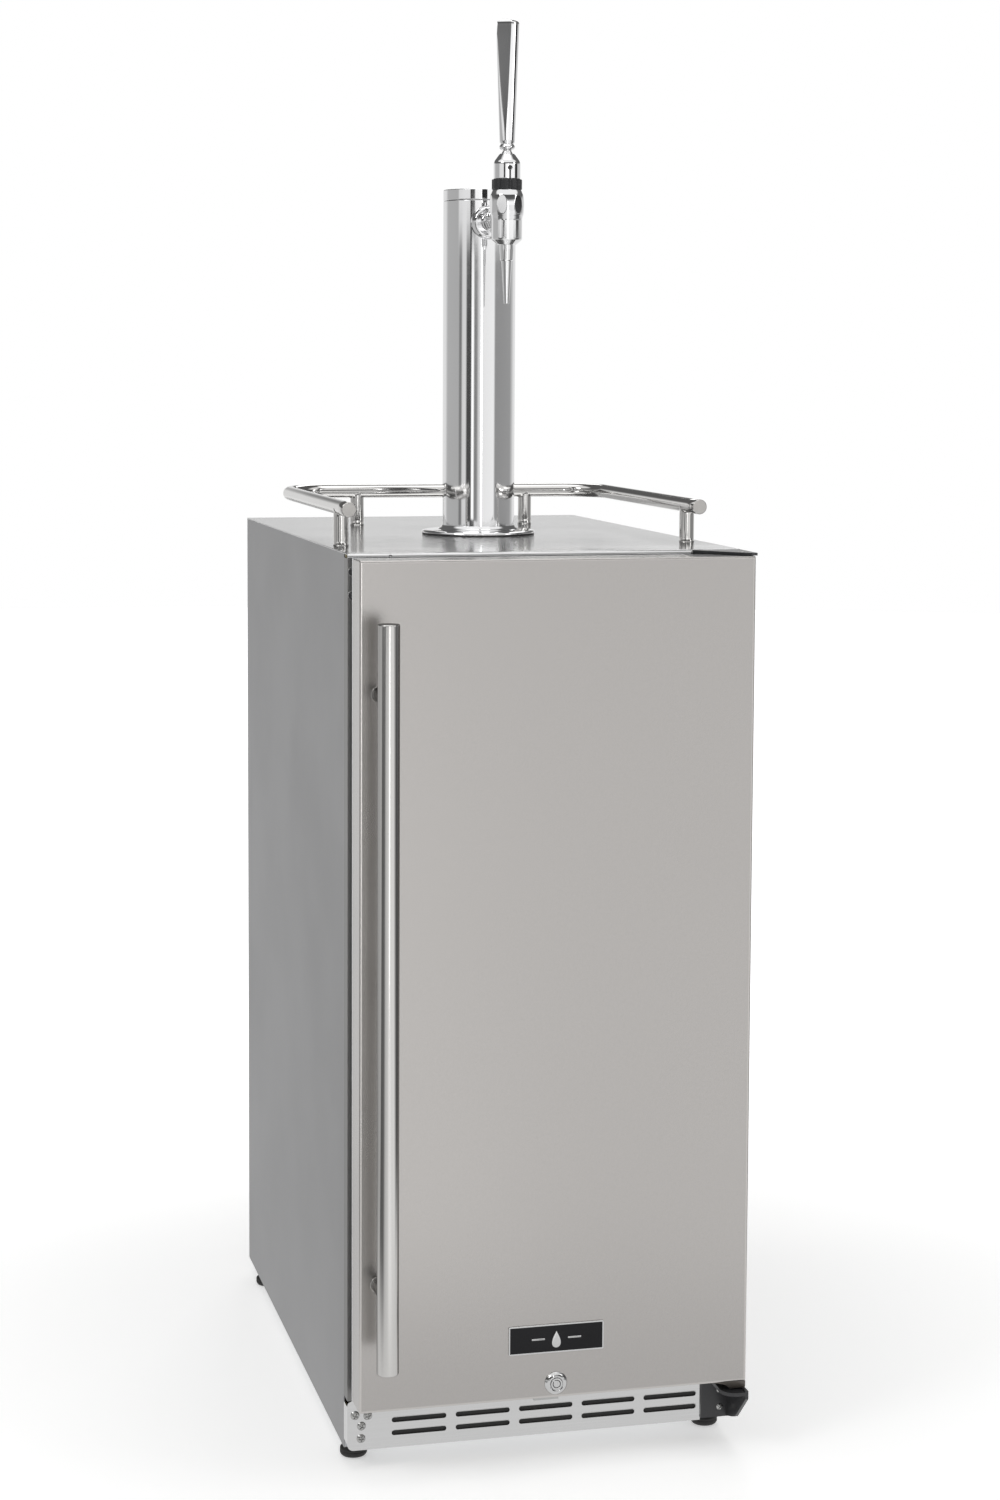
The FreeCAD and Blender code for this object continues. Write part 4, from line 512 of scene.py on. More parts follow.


# the frame behind the door is folded from duller sheet than the door itself, and its colour is darker still as painted
# shade from the door and the seal gap in front of it
frameSheetAndShade = brushedSteel("frameSheetAndShade", (0.16, 0.158, 0.155), (0.27, 0.266, 0.262), (0.30, 0.40), upright,
                          0.5, 0.05, 0.04)


def dressNodes():
    for name, node in frame["nodes"].items():
        finish = frameSheetAndShade if name == "front_frame" else finishes[slotOfNode[name]]
        node.data.materials.clear()
        node.data.materials.append(finish)


dressNodes()
print("finishes ready:", len(finishes))

# ---- surface tools ----


def gridFaces(rows, cols, loopRows, loopCols):
    # four corners of every cell of a grid, wrapped where it closes
    r, c = np.meshgrid(np.arange(rows if loopRows else rows - 1), np.arange(cols if loopCols else cols - 1),
                       indexing="ij")
    nextRow, nextCol = (r + 1) % rows, (c + 1) % cols
    corners = [r * cols + c, nextRow * cols + c, nextRow * cols + nextCol, r * cols + nextCol]
    return np.stack(corners, -1).reshape(-1, 4)


def sheetOf(points, loopRows=False, loopCols=True, caps=True):
    return (points, loopRows, loopCols, caps)


def buildPiece(name, sheets, body, slot, nodes=(), finish=None, rim=None):
    # joins sheets into one mesh, merges seams and poles, and turns faces outwards
    verts, faces, offset = [], [], 0
    for points, loopRows, loopCols, caps in sheets:
        rows, cols = points.shape[:2]
        verts.append(points.reshape(-1, 3))
        faces += (gridFaces(rows, cols, loopRows, loopCols) + offset).tolist()
        if caps:
            faces.append([offset + i for i in range(cols)])
            faces.append([offset + (rows - 1) * cols + i for i in reversed(range(cols))])
        offset += rows * cols
    mesh = bpy.data.meshes.new(name)
    mesh.from_pydata(np.concatenate(verts).tolist(), [], faces)
    # the mark of rounded edges, which the steel finish paints with a brighter edge highlight
    if rim is not None:
        edge = mesh.attributes.new("rim", "FLOAT", "POINT")
        edge.data.foreach_set("value", np.asarray(rim, np.float32).ravel())
    work = bmesh.new()
    work.from_mesh(mesh)
    bmesh.ops.remove_doubles(work, verts=work.verts, dist=2e-7)
    bmesh.ops.recalc_face_normals(work, faces=work.faces)
    work.to_mesh(mesh)
    work.free()
    mesh.polygons.foreach_set("use_smooth", np.ones(len(mesh.polygons), bool))
    mesh.materials.append(finish or finishes[slot])
    piece = bpy.data.objects.new(name, mesh)
    scene.collection.objects.link(piece)
    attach(piece, body)
    if nodes:
        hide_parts(*nodes)
    return piece


def softProfile(points, radius, steps=4):
    # every inner corner becomes a short curve between points set back from it, with a guard point each side
    points = np.asarray(points, float)
    out = [points[0]]
    for before, corner, after in zip(points[:-2], points[1:-1], points[2:]):
        into, away = before - corner, after - corner
        reachIn, reachOut = np.linalg.norm(into), np.linalg.norm(away)
        back = min(radius, 0.40 * reachIn, 0.40 * reachOut)
        start, end = corner + into / reachIn * back, corner + away / reachOut * back
        t = np.linspace(0, 1, steps + 1)[:, None]
        out.append(corner + into / reachIn * back * 1.2)
        out.extend((1 - t) ** 2 * start + 2 * t * (1 - t) * corner + t ** 2 * end)
        out.append(corner + away / reachOut * back * 1.2)
    out.append(points[-1])
    return np.array(out)


axisFrames = {
    "up": ((1, 0, 0), (0, 1, 0), (0, 0, 1)),
    "front": ((1, 0, 0), (0, 0, 1), (0, -1, 0)),
}


def supported(profile, reach=0.0003):
    # long straight runs get a point close to each end, so that shading stays true to the flat
    step = np.diff(profile, axis=0)
    length = np.linalg.norm(step, axis=1)
    runs = np.flatnonzero(length > 4 * reach)
    unit = step[runs] / length[runs, None]
    extra = np.stack([profile[runs] + unit * reach, profile[runs + 1] - unit * reach], 1)
    return np.insert(profile, np.repeat(runs + 1, 2), extra.reshape(-1, 2), axis=0)


def turnedSheet(profile, centre, axis="up", segments=96, shape=None):
    # point = centre + radius(angle) * (cos, sin) across the axis + height along it
    profile = supported(np.asarray(profile, float))
    u, v, w = (np.array(a, float) for a in axisFrames[axis])
    angle = np.linspace(0, 2 * np.pi, segments, endpoint=False)
    radius = np.repeat(profile[:, :1], segments, 1)
    height = np.repeat(profile[:, 1:2], segments, 1)
    if shape is not None:
        radius, height = shape(radius, np.broadcast_to(angle, radius.shape), height)
    points = (np.array(centre, float) + (radius * np.cos(angle))[..., None] * u
              + (radius * np.sin(angle))[..., None] * v + height[..., None] * w)
    return sheetOf(points, caps=False)


def carriedSheet(section, path, up, closedPath=False, caps=True):
    # a closed section (side, up) carried along a path: side is the tangent crossed with up
    path = np.asarray(path, float)
    if closedPath:
        tangent = np.roll(path, -1, 0) - np.roll(path, 1, 0)
    else:
        tangent = np.gradient(path, axis=0)
    tangent /= np.linalg.norm(tangent, axis=1, keepdims=True)
    side = np.cross(tangent, np.asarray(up, float))
    side /= np.linalg.norm(side, axis=1, keepdims=True)
    lift = np.cross(side, tangent)
    points = path[:, None] + section[None, :, :1] * side[:, None] + section[None, :, 1:2] * lift[:, None]
    return sheetOf(points, closedPath, True, caps and not closedPath)


def circleSection(radius, count=32):
    angle = np.linspace(0, 2 * np.pi, count, endpoint=False)
    return np.stack([radius * np.cos(angle), radius * np.sin(angle)], 1)


def roundedOutline(halfA, halfB, corner, steps=5):
    # a rectangle with quarter-circle corners and a guard point before and after each
    quarter = np.linspace(0, np.pi / 2, steps + 1)
    guard = max(corner * 0.35, 0.00015)
    out = []
    for index, (sx, sy) in enumerate(((1, 1), (-1, 1), (-1, -1), (1, -1))):
        turn = quarter + index * np.pi / 2
        cx, cy = sx * (halfA - corner), sy * (halfB - corner)
        arc = np.stack([cx + corner * np.cos(turn), cy + corner * np.sin(turn)], 1)
        first = np.array([-np.sin(turn[0]), np.cos(turn[0])])
        last = np.array([-np.sin(turn[-1]), np.cos(turn[-1])])
        out.append(np.vstack([arc[0] - first * guard, arc, arc[-1] + last * guard]))
    return np.vstack(out)


def roundedSlab(low, high, corner, edge, axis="z", backEdge=None):
    # stacked rounded rectangles whose inset follows a quarter circle at both ends
    low, high = np.array(low, float), np.array(high, float)
    order = {"x": (1, 2, 0), "y": (0, 2, 1), "z": (0, 1, 2)}[axis]
    a, b, c = order
    middle, half = (low + high) / 2, (high - low) / 2
    backEdge = edge if backEdge is None else backEdge
    turn = np.linspace(0, np.pi / 2, 5)
    levels = [(edge * 1.8, low[c])]
    levels += [(edge * (1 - math.sin(t)), low[c] + edge * (1 - math.cos(t))) for t in turn]
    levels += [(0.0, low[c] + edge * 1.3), (0.0, high[c] - backEdge * 1.3)]
    levels += [(backEdge * (1 - math.sin(t)), high[c] - backEdge * (1 - math.cos(t))) for t in turn[::-1]]
    levels += [(backEdge * 1.8, high[c])]
    rings, rims = [], []
    for inset, level in levels:
        outline = roundedOutline(half[a] - inset, half[b] - inset, max(corner - inset, 0.00005))
        ring = np.zeros((len(outline), 3))
        ring[:, a], ring[:, b], ring[:, c] = outline[:, 0] + middle[a], outline[:, 1] + middle[b], level
        rings.append(ring)
        # rows of the rounded edges, marked for the painted edge highlight
        rims.append(np.full(len(outline), 1.0 if 0 < inset < max(edge, backEdge) * 1.01 else 0.0))
    return sheetOf(np.array(rings)), np.array(rims)


def centreOf(node):
    # an upright axis through the middle of a node
    low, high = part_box(node)
    return ((low.x + high.x) / 2, (low.y + high.y) / 2, 0)


def closedRing(profile):
    return np.vstack([profile, profile[:1]])


def densified(profile, step, beyond):
    # runs that lie wholly beyond a radius are cut into short steps
    dense = [profile[0]]
    for first, second in zip(profile[:-1], profile[1:]):
        count = max(1, int(np.linalg.norm(second - first) / step)) if min(first[0], second[0]) > beyond else 1
        dense += [first + (second - first) * (k + 1) / count for k in range(count)]
    return np.array(dense)


# ---- floor ----


def makeFloor(s):
    # a round sheet on the floor plane: rings of points about the origin
    angles = np.linspace(0, 2 * np.pi, s["floorSides"] + 1)[:-1]
    rings = np.array(s["floorRings"])
    grid = np.stack([np.outer(rings, np.cos(angles)), np.outer(rings, np.sin(angles)),
                     np.full((len(rings), len(angles)), -s["floorDrop"])], -1)
    count = len(angles)
    faces = gridFaces(len(rings), count, False, True).tolist()
    faces.append(tuple(range(count)))
    mesh = bpy.data.meshes.new("studioFloor")
    mesh.from_pydata(grid.reshape(-1, 3).tolist(), [], faces)
    floor = bpy.data.objects.new("studioFloor", mesh)
    scene.collection.objects.link(floor)
    material, tree, shader, where = startMaterial("studioPaper")
    tone = noiseNode(tree, where, 3.0, 3.0, 0.5)
    base = s["floorColour"][:3]
    paper = blendNode(tree, tone, opaque(base), opaque(base, 1.02))
    shader.inputs["Roughness"].default_value = 0.6

    def greyOf(light):
        return (light, light, light, 1)

    # the paper glows a little more with distance, so that it runs into the backdrop
    away = vectorNode(tree, "LENGTH", where)
    light = blendNode(tree, smoothStep(tree, away, *s["glowFrom"]), *map(greyOf, s["paperGlow"]))
    # mirrored in the metal, the paper carries the room's bands beyond a plain patch near the object
    below = vectorNode(tree, "ADD", where, (0, 0, -1))
    bands = blendNode(tree, smoothStep(tree, away, *s["mirroredFrom"]), greyOf(s["mirroredNear"]),
                      roomLightNode(tree, below))
    glossy = tree.nodes.new("ShaderNodeLightPath").outputs["Is Glossy Ray"]
    tree.links.new(blendNode(tree, glossy, paper, greyOf(s["mirroredPaper"])), shader.inputs["Base Color"])
    tree.links.new(blendNode(tree, glossy, light, bands), shader.inputs["Emission Color"])
    shader.inputs["Emission Strength"].default_value = 1.0
    mesh.materials.append(material)


makeFloor(studioSetup)

mm = 0.001

# ---- top panel ----
topPanel = dict(bullnose=3.4 * mm, sheet=1.2 * mm, fold=0.4 * mm, backEdge=0.6 * mm, hole=1.1 * mm,
                holeInset=40.0 * mm, holeDrop=3.0 * mm)


def makeTopPanel(s):
    # the front-to-back section, its front corner a quarter ellipse, carried from side to side
    low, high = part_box("top_panel")
    turn = np.linspace(0, np.pi / 2, 9)
    nose, sheet, fold, back = s["bullnose"], s["sheet"], s["fold"], s["backEdge"]
    section = [(low.y + sheet, low.z), (low.y + fold, low.z), (low.y, low.z + fold)]
    section += [(low.y + nose * (1 - math.cos(t)), high.z - nose * (1 - math.sin(t))) for t in turn]
    section += [(low.y + nose * 1.4, high.z), (high.y - back, high.z), (high.y - back / 3, high.z - back / 3),
                (high.y, high.z - back), (high.y, high.z - sheet), (low.y + sheet, high.z - sheet)]
    section = np.array(section)
    ends = np.array([0.0, 0.3 * mm, 1.0 * mm])
    spots = np.concatenate([low.x + ends, np.linspace(low.x + 20 * mm, high.x - 20 * mm, 16), high.x - ends[::-1]])
    points = np.zeros((len(spots), len(section), 3))
    points[..., 0] = spots[:, None]
    points[..., 1:] = section
    buildPiece("topSheet", [sheetOf(points)], "cabinet", "top_steel", ("top_panel",))
    # the small hole in the lip: a dish with a fine rim, painted black for the shade inside the hole
    rows = np.array([(0.0, -0.5), (0.8, -0.4), (1.0, 0.045), (1.35, 0.09), (1.5, -0.18)]) * s["hole"]
    centre = (low.x + s["holeInset"], low.y - 0.02 * mm, high.z - s["holeDrop"])
    buildPiece("lipHole", [turnedSheet(rows, centre, "front", 24)], "cabinet", "black_plastic")


makeTopPanel(topPanel)

# ---- door ----
doorShell = dict(corner=1.4 * mm, frontEdge=1.5 * mm, backEdge=0.5 * mm)
doorPlates = dict(proud=0.22 * mm, corner=1.5 * mm, edge=0.3 * mm, length=58 * mm, inset=1.6 * mm, sunk=2 * mm,
                  footReach=36 * mm, footCurve=20 * mm, footInset=1 * mm, footEdge=0.3 * mm)


def makeDoor(s, plate):
    low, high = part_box("door_skin")
    slab, rim = roundedSlab(low, high, s["corner"], s["frontEdge"], "y", s["backEdge"])
    buildPiece("doorShell", [slab], "door", "door_steel", ("door_skin",), rim=rim)
    # the black plate let into the door's top edge, a hair proud of it
    inset = plate["inset"]
    topLow = (high.x - inset - plate["length"], low.y + inset, high.z - plate["sunk"])
    topHigh = (high.x - inset, high.y - inset, high.z + plate["proud"])
    slab, rim = roundedSlab(topLow, topHigh, plate["corner"], plate["edge"])
    buildPiece("doorTopPlate", [slab], "door", "black_steel")
    # the foot plate: its section (x, z) curves up on the inner side and runs front to back
    base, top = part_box("door_hinge_fittings")[0].z, low.z
    reach, curve, edge = plate["footReach"], plate["footCurve"], plate["footEdge"]
    section = [(high.x - edge, top), (high.x, top - 2 * edge), (high.x, base + 2 * edge), (high.x - 2 * edge, base)]
    section += [(high.x - reach + curve * math.sin(a), top - (top - base) * (1 - math.cos(a)) ** 0.9)
                for a in np.linspace(np.pi / 2, 0, 9)]
    section = np.array(section)
    start, end = low.y + plate["footInset"], high.y - plate["footInset"]
    points = np.zeros((4, len(section), 3))
    points[..., 0] = section[None, :, 0] - np.array([edge, 0.0, 0.0, edge])[:, None]
    points[..., 1] = np.array([start, start + edge, end - edge, end])[:, None]
    points[..., 2] = section[None, :, 1]
    buildPiece("doorFootPlate", [sheetOf(points)], "door", "hinge_fittings", ("door_hinge_fittings",))


makeDoor(doorShell, doorPlates)

# ---- bar handle ----
barHandle = dict(edge=0.8 * mm, soften=0.54 * mm, endDish=0.15 * mm, clearance=0.02 * mm, post=6.0 * mm,
                 collar=7.4 * mm, collarSheet=0.8 * mm, embed=0.4 * mm)


def makeHandle(s):
    low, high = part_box("bar_handle")
    radius = (high.x - low.x) / 2 - s["clearance"]
    axis = centreOf("bar_handle")
    dish, edge = s["endDish"], s["edge"]
    profile = softProfile([(0, low.z + dish), (radius * 0.82, low.z + dish), (radius - 0.7 * mm, low.z),
                           (radius, low.z + edge), (radius, high.z - edge), (radius - 0.7 * mm, high.z),
                           (radius * 0.82, high.z - dish), (0, high.z - dish)], s["soften"])
    buildPiece("handleBar", [turnedSheet(profile, axis, segments=128)], "door", "handle_steel", ("bar_handle",))
    # each standoff is a tube whose front end follows the bar's round: y = bar axis + sqrt(R^2 - x^2)
    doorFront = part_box("door_skin")[0].y
    postLow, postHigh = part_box("handle_standoffs")
    postRadius, collar, sheet = s["post"], s["collar"], s["collarSheet"]
    angle = np.linspace(0, 2 * np.pi, 64, endpoint=False)
    x, z = postRadius * np.cos(angle), postRadius * np.sin(angle)
    saddle = axis[1] + np.sqrt(radius ** 2 - x ** 2) - s["embed"]
    share = np.concatenate([[0, 0.04], np.linspace(0.1, 0.9, 6), [0.96, 1.0]])[:, None]
    ring = softProfile([(postRadius - 0.4 * mm, 0), (collar, 0), (collar, sheet), (postRadius - 0.4 * mm, sheet)],
                       0.3 * mm)
    for name, height, nodes in (("handleStandoffLow", postLow.z + postRadius, ("handle_standoffs",)),
                                ("handleStandoffHigh", postHigh.z - postRadius, ())):
        y = saddle[None] + (doorFront - saddle[None]) * share
        tube = np.stack([np.broadcast_to(x + axis[0], y.shape), y, np.broadcast_to(z + height, y.shape)], -1)
        foot = turnedSheet(ring, (axis[0], doorFront, height), "front", 64)
        buildPiece(name, [sheetOf(tube), foot], "door", "handle_steel", nodes)


makeHandle(barHandle)

# ---- tower ----
tower = dict(seamDepth=0.35 * mm, seamHalf=0.25 * mm, topEdge=1.0 * mm, crown=0.5 * mm,
             # the foot, inwards from its rim and outwards from the column, each with its height
             footRim=((0.8, 0.0), (0.0, 0.9), (0.6, 2.4), (3.0, 3.1)),
             footFlare=((4.6, 4.0), (2.4, 5.2)))


def makeTower(s):
    low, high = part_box("tower_column")
    centre = centreOf("tower_column")
    radius = (high.x - low.x) / 2
    seam, depth, edge, crown = s["seamHalf"], s["seamDepth"], s["topEdge"], s["crown"]
    column = softProfile([(radius - 1 * mm, low.z), (radius, low.z), (radius, high.z - seam - 0.4 * mm),
                          (radius - depth, high.z - seam), (0, high.z - seam)], 0.3 * mm)
    buildPiece("towerTube", [turnedSheet(column, centre, segments=192)], "cabinet", "chrome", ("tower_column",))
    # the lid: a quarter round at its edge, then a crown that falls as the square of the radius
    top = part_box("tower_cap")[1].z
    cap = [(0, high.z - seam + 0.1 * mm), (radius - depth, high.z + seam * 0.4),
           (radius, high.z + seam + 0.3 * mm), (radius, top - edge)]
    cap += [(radius - edge * (1 - math.cos(a)), top - crown - edge * (1 - math.sin(a)))
            for a in np.linspace(0, np.pi / 2, 8)[1:]]
    cap += [(float(r), top - crown * (float(r) / radius) ** 2) for r in np.linspace(radius - edge * 1.3, 0, 8)]
    buildPiece("towerLid", [turnedSheet(np.array(cap), centre, segments=192)], "cabinet", "chrome", ("tower_cap",))
    # the flange: a thin disc, its rim rounded, that flares up into a bead at the column
    flangeLow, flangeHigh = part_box("tower_flange")
    rim, base, bead = (flangeHigh.x - flangeLow.x) / 2, flangeLow.z, flangeHigh.z - 0.2 * mm
    flange = [(radius - 4 * mm, base)]
    flange += [(rim - inset * mm, base + rise * mm) for inset, rise in s["footRim"]]
    flange += [(radius + out * mm, base + rise * mm) for out, rise in s["footFlare"]]
    flange += [(radius + 0.6 * mm, bead), (radius - 0.5 * mm, bead), (radius - 4 * mm, base + 3 * mm)]
    flange = closedRing(softProfile(flange, 0.8 * mm))
    buildPiece("towerFoot", [turnedSheet(flange, centre, segments=192)], "cabinet", "chrome", ("tower_flange",))


makeTower(tower)

# ---- shank ----
shankParts = dict(
    bore=10.8 * mm, domeFace=((13.5, 0.0), (15.0, 0.8)), domeRim=((0.4, 3.6), (0.0, 5.0)),
    nutRadius=14.5 * mm, nutBore=11.0 * mm, nutLength=14.0 * mm,
    nutSteps=((1.0, 0.0), (0.0, 1.0), (0.0, 4.5), (1.2, 5.5), (1.2, 7.5), (0.0, 8.5), (0.0, 13.0), (1.0, 14.0)),
    notchCount=8, notchDepth=1.5 * mm,
)


def makeShank(s):
    low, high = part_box("shank_flange")
    centreX, centreZ = (low.x + high.x) / 2, (low.z + high.z) / 2
    outer, reach, bore = (high.x - low.x) / 2, high.y - low.y, s["bore"]
    dome = [(bore, reach)] + [(r * mm, reach - back * mm) for r, back in s["domeFace"]]
    dome += [(outer - inset * mm, reach - back * mm) for inset, back in s["domeRim"]]
    dome += [(outer, 0.4 * mm), (outer - 0.8 * mm, 0), (bore, 0)]
    dome = closedRing(softProfile(dome, 0.9 * mm))
    buildPiece("shankRosette", [turnedSheet(dome, (centreX, high.y, centreZ), "front", 96)], "cabinet", "chrome",
               ("shank_flange",))
    nut = [(s["nutBore"], 0)] + [(s["nutRadius"] - inset * mm, along * mm) for inset, along in s["nutSteps"]]
    nut = closedRing(softProfile(nut + [(s["nutBore"], s["nutLength"])], 0.5 * mm))

    def notched(radius, angle, height):
        # shallow flutes round the rim: radius less a narrow cosine peak
        wave = np.clip(np.cos(s["notchCount"] * angle), 0, 1) ** 4
        return np.where(radius > 12.5 * mm, radius - s["notchDepth"] * wave, radius), height

    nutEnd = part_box("shank_nuts")[0].y + s["nutLength"]
    buildPiece("couplingRing", [turnedSheet(nut, (0, nutEnd, centreZ), "front", 160, notched)], "cabinet", "chrome",
               ("shank_nuts",))


makeShank(shankParts)

# ---- tap ----
tap = dict(
    barrel=15.0 * mm, bulge=16.85 * mm, waist=15.5 * mm,
    bodyFoot=((6.4, 0.0), (0.4, 5.0), (0.0, 6.2), (0.0, 25.0)), bodySwell=((1.35, 27.9), (0.6, 32.0), (0.0, 36.5)),
    flatDistance=16.1 * mm, flatHeight=38.7 * mm, flatRise=10.8 * mm, flatAngles=(-90.0, -30.0, 30.0, 90.0),
    socket=9.0 * mm, collarBore=8.0 * mm, collarNotches=8, collarDepth=1.5 * mm,
    bodyDrop=3.4 * mm, ringDrop=6.3 * mm, hoodDrop=3.8 * mm, hoodWell=6.0 * mm,
    keyRound=2.2 * mm, keySlit=0.8 * mm, keyDepth=2.5 * mm, keyBelowTop=14.2 * mm,
    nozzleBore=1.5 * mm,
    # radius and height above the tip: the long cone, its step and the wide top
    nozzle=((2.4, 0.0), (2.6, 0.5), (5.25, 41.6), (6.4, 42.4), (6.95, 51.5), (7.0, 52.5)),
)
tapAxis = centreOf("tap_nozzle")


def makeTapBody(s):
    low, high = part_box("tap_body")
    base, top = low.z, high.z - s["bodyDrop"]
    barrel, bulge, waistRadius, plane = s["barrel"], s["bulge"], s["waist"], s["flatDistance"]
    profile = [(0, base)] + [(barrel - inset * mm, base + rise * mm) for inset, rise in s["bodyFoot"]]
    profile += [(bulge - inset * mm, base + rise * mm) for inset, rise in s["bodySwell"]]
    profile += [(bulge, top - 8.0 * mm), (waistRadius, top - 4.1 * mm), (barrel - 0.6 * mm, top - 1.2 * mm),
                (barrel - 1.2 * mm, top), (0, top)]
    profile = densified(softProfile(profile, 1.6 * mm, 6), 0.8 * mm, 12 * mm)
    middle = base + s["flatHeight"]

    def flatted(radius, angle, height):
        # oval flats: the waist swells as 1 - (rise / half height)^2 and planes at one distance cut it
        rise = (height - middle) / s["flatRise"]
        swell = np.clip(1 - rise ** 2, 0, 1)
        waist = (radius > 14.5 * mm) & (abs(rise) < 1)
        out = np.where(waist, waistRadius + (bulge - waistRadius) * swell ** 0.6, radius)
        for degrees in s["flatAngles"]:
            cosine = np.clip(np.cos(angle + np.pi / 2 - math.radians(degrees)), 0.3, 1)
            out = np.where(waist & (cosine > 0.9), np.minimum(out, plane / cosine), out)
        return out, height

    body = turnedSheet(profile, tapAxis, segments=224, shape=flatted)
    reach = high.y - tapAxis[1]
    socket = softProfile([(0, 0), (s["socket"], 0), (s["socket"], reach), (0, reach)], 0.4 * mm)
    shankLow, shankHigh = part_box("shank_flange")
    neck = turnedSheet(socket, (tapAxis[0], high.y, (shankLow.z + shankHigh.z) / 2), "front", 64)
    buildPiece("tapBarrel", [body, neck], "cabinet", "chrome", ("tap_body",))


def makeTapCollar(s):
    low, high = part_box("tap_collar")
    outer, bore, edge = (high.x - low.x) / 2, s["collarBore"], 0.6 * mm
    base, top = low.z - s["bodyDrop"], high.z - s["ringDrop"]
    profile = closedRing(softProfile([(bore, base), (outer - edge, base), (outer, base + edge), (outer, top - edge),
                                      (outer - edge, top), (bore, top)], edge))

    def notched(radius, angle, height):
        # wide grips: the rim drops between them along a smoothed cosine
        wave = np.clip(np.cos(s["collarNotches"] * angle) * 1.6 - 0.55, 0, 1)
        wave = wave * wave * (3 - 2 * wave)
        return np.where(radius > 12 * mm, radius - s["collarDepth"] * wave, radius), height

    buildPiece("tapGripRing", [turnedSheet(profile, tapAxis, segments=224, shape=notched)], "cabinet",
               "black_plastic", ("tap_collar",))


def makeTapBonnet(s):
    low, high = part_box("tap_bonnet")
    outer, well = (high.x - low.x) / 2, s["hoodWell"]
    base, top = low.z - s["ringDrop"], high.z - s["hoodDrop"]
    profile = softProfile([(0, base), (outer - 0.5 * mm, base), (outer, base + 0.6 * mm), (outer, low.z + 9.0 * mm),
                           (outer - 0.8 * mm, low.z + 11.5 * mm), (7.8 * mm, top - 1.2 * mm),
                           (6.8 * mm, top - 0.2 * mm), (well, top - 0.4 * mm), (well, top - 7.5 * mm),
                           (0, top - 8.5 * mm)], 1.2 * mm, 5)
    profile = densified(profile, 0.35 * mm, 11.5 * mm)
    keyHeight = top - s["keyBelowTop"]

    def keyed(radius, angle, height):
        # pressed in where the distance to the keyhole (a round and the slit below it) is negative
        across = radius * np.cos(angle)
        toRound = np.hypot(across, height - keyHeight) - s["keyRound"]
        toSlit = np.where(height < keyHeight, np.abs(across) - s["keySlit"], 1.0)
        inside = np.clip(-np.minimum(toRound, toSlit) / (0.4 * mm), 0, 1)
        pressed = (np.sin(angle) < 0) & (radius > 11.5 * mm)
        return np.where(pressed, radius - s["keyDepth"] * inside, radius), height

    # painted shade: a black key way set just inside the pressed hole, for the shade in the keyhole
    x, front = tapAxis[0], tapAxis[1] - outer + 0.4 * mm
    disc = turnedSheet([(0.0, 0.0), (s["keyRound"], 0.0), (s["keyRound"], -1 * mm), (0.0, -1 * mm)],
                       (x, front, keyHeight), "front", 48)
    slit, _ = roundedSlab((x - s["keySlit"], front - 0.1 * mm, base + 0.2 * mm),
                          (x + s["keySlit"], front + 1 * mm, keyHeight), 0.3 * mm, 0.1 * mm, "y")
    buildPiece("tapKeyholeShade", [disc, slit], "cabinet", "black_plastic")
    buildPiece("tapHood", [turnedSheet(profile, tapAxis, segments=384, shape=keyed)], "cabinet", "chrome",
               ("tap_bonnet",))


def makeTapNozzle(s):
    low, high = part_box("tap_nozzle")
    profile = [(s["nozzleBore"], low.z + 4 * mm), (s["nozzleBore"], low.z)]
    profile += [(radius * mm, low.z + rise * mm) for radius, rise in s["nozzle"]]
    profile = softProfile(profile + [(s["nozzle"][-1][0] * mm, high.z)], 0.5 * mm)
    buildPiece("tapNozzleTube", [turnedSheet(profile, tapAxis, segments=96)], "cabinet", "chrome", ("tap_nozzle",))


tapHandle = dict(
    # cut planes face this far round from the front; their distance from the axis falls towards the top
    cutAngles=(-27.5, -152.5), cutRoot=7.2 * mm, cutTop=4.9 * mm, uncut=100.0 * mm, knee=0.22 * mm,
    pivotRise=8.0 * mm, ballRadius=5.6 * mm, neckRise=5.1 * mm, rootRise=7.0 * mm,
    # the ferrule's radii and heights
    ferrule=((4.4, -1.0), (4.5, 0.0), (6.2, 0.4), (7.6, 1.8), (7.6, 3.4), (6.4, 5.0), (6.4, 6.2)),
    halfWidth=11.4 * mm, halfDepth=6.9 * mm, rootRadius=7.4 * mm, rootDepth=6.7 * mm, tipHeight=5.0 * mm,
)


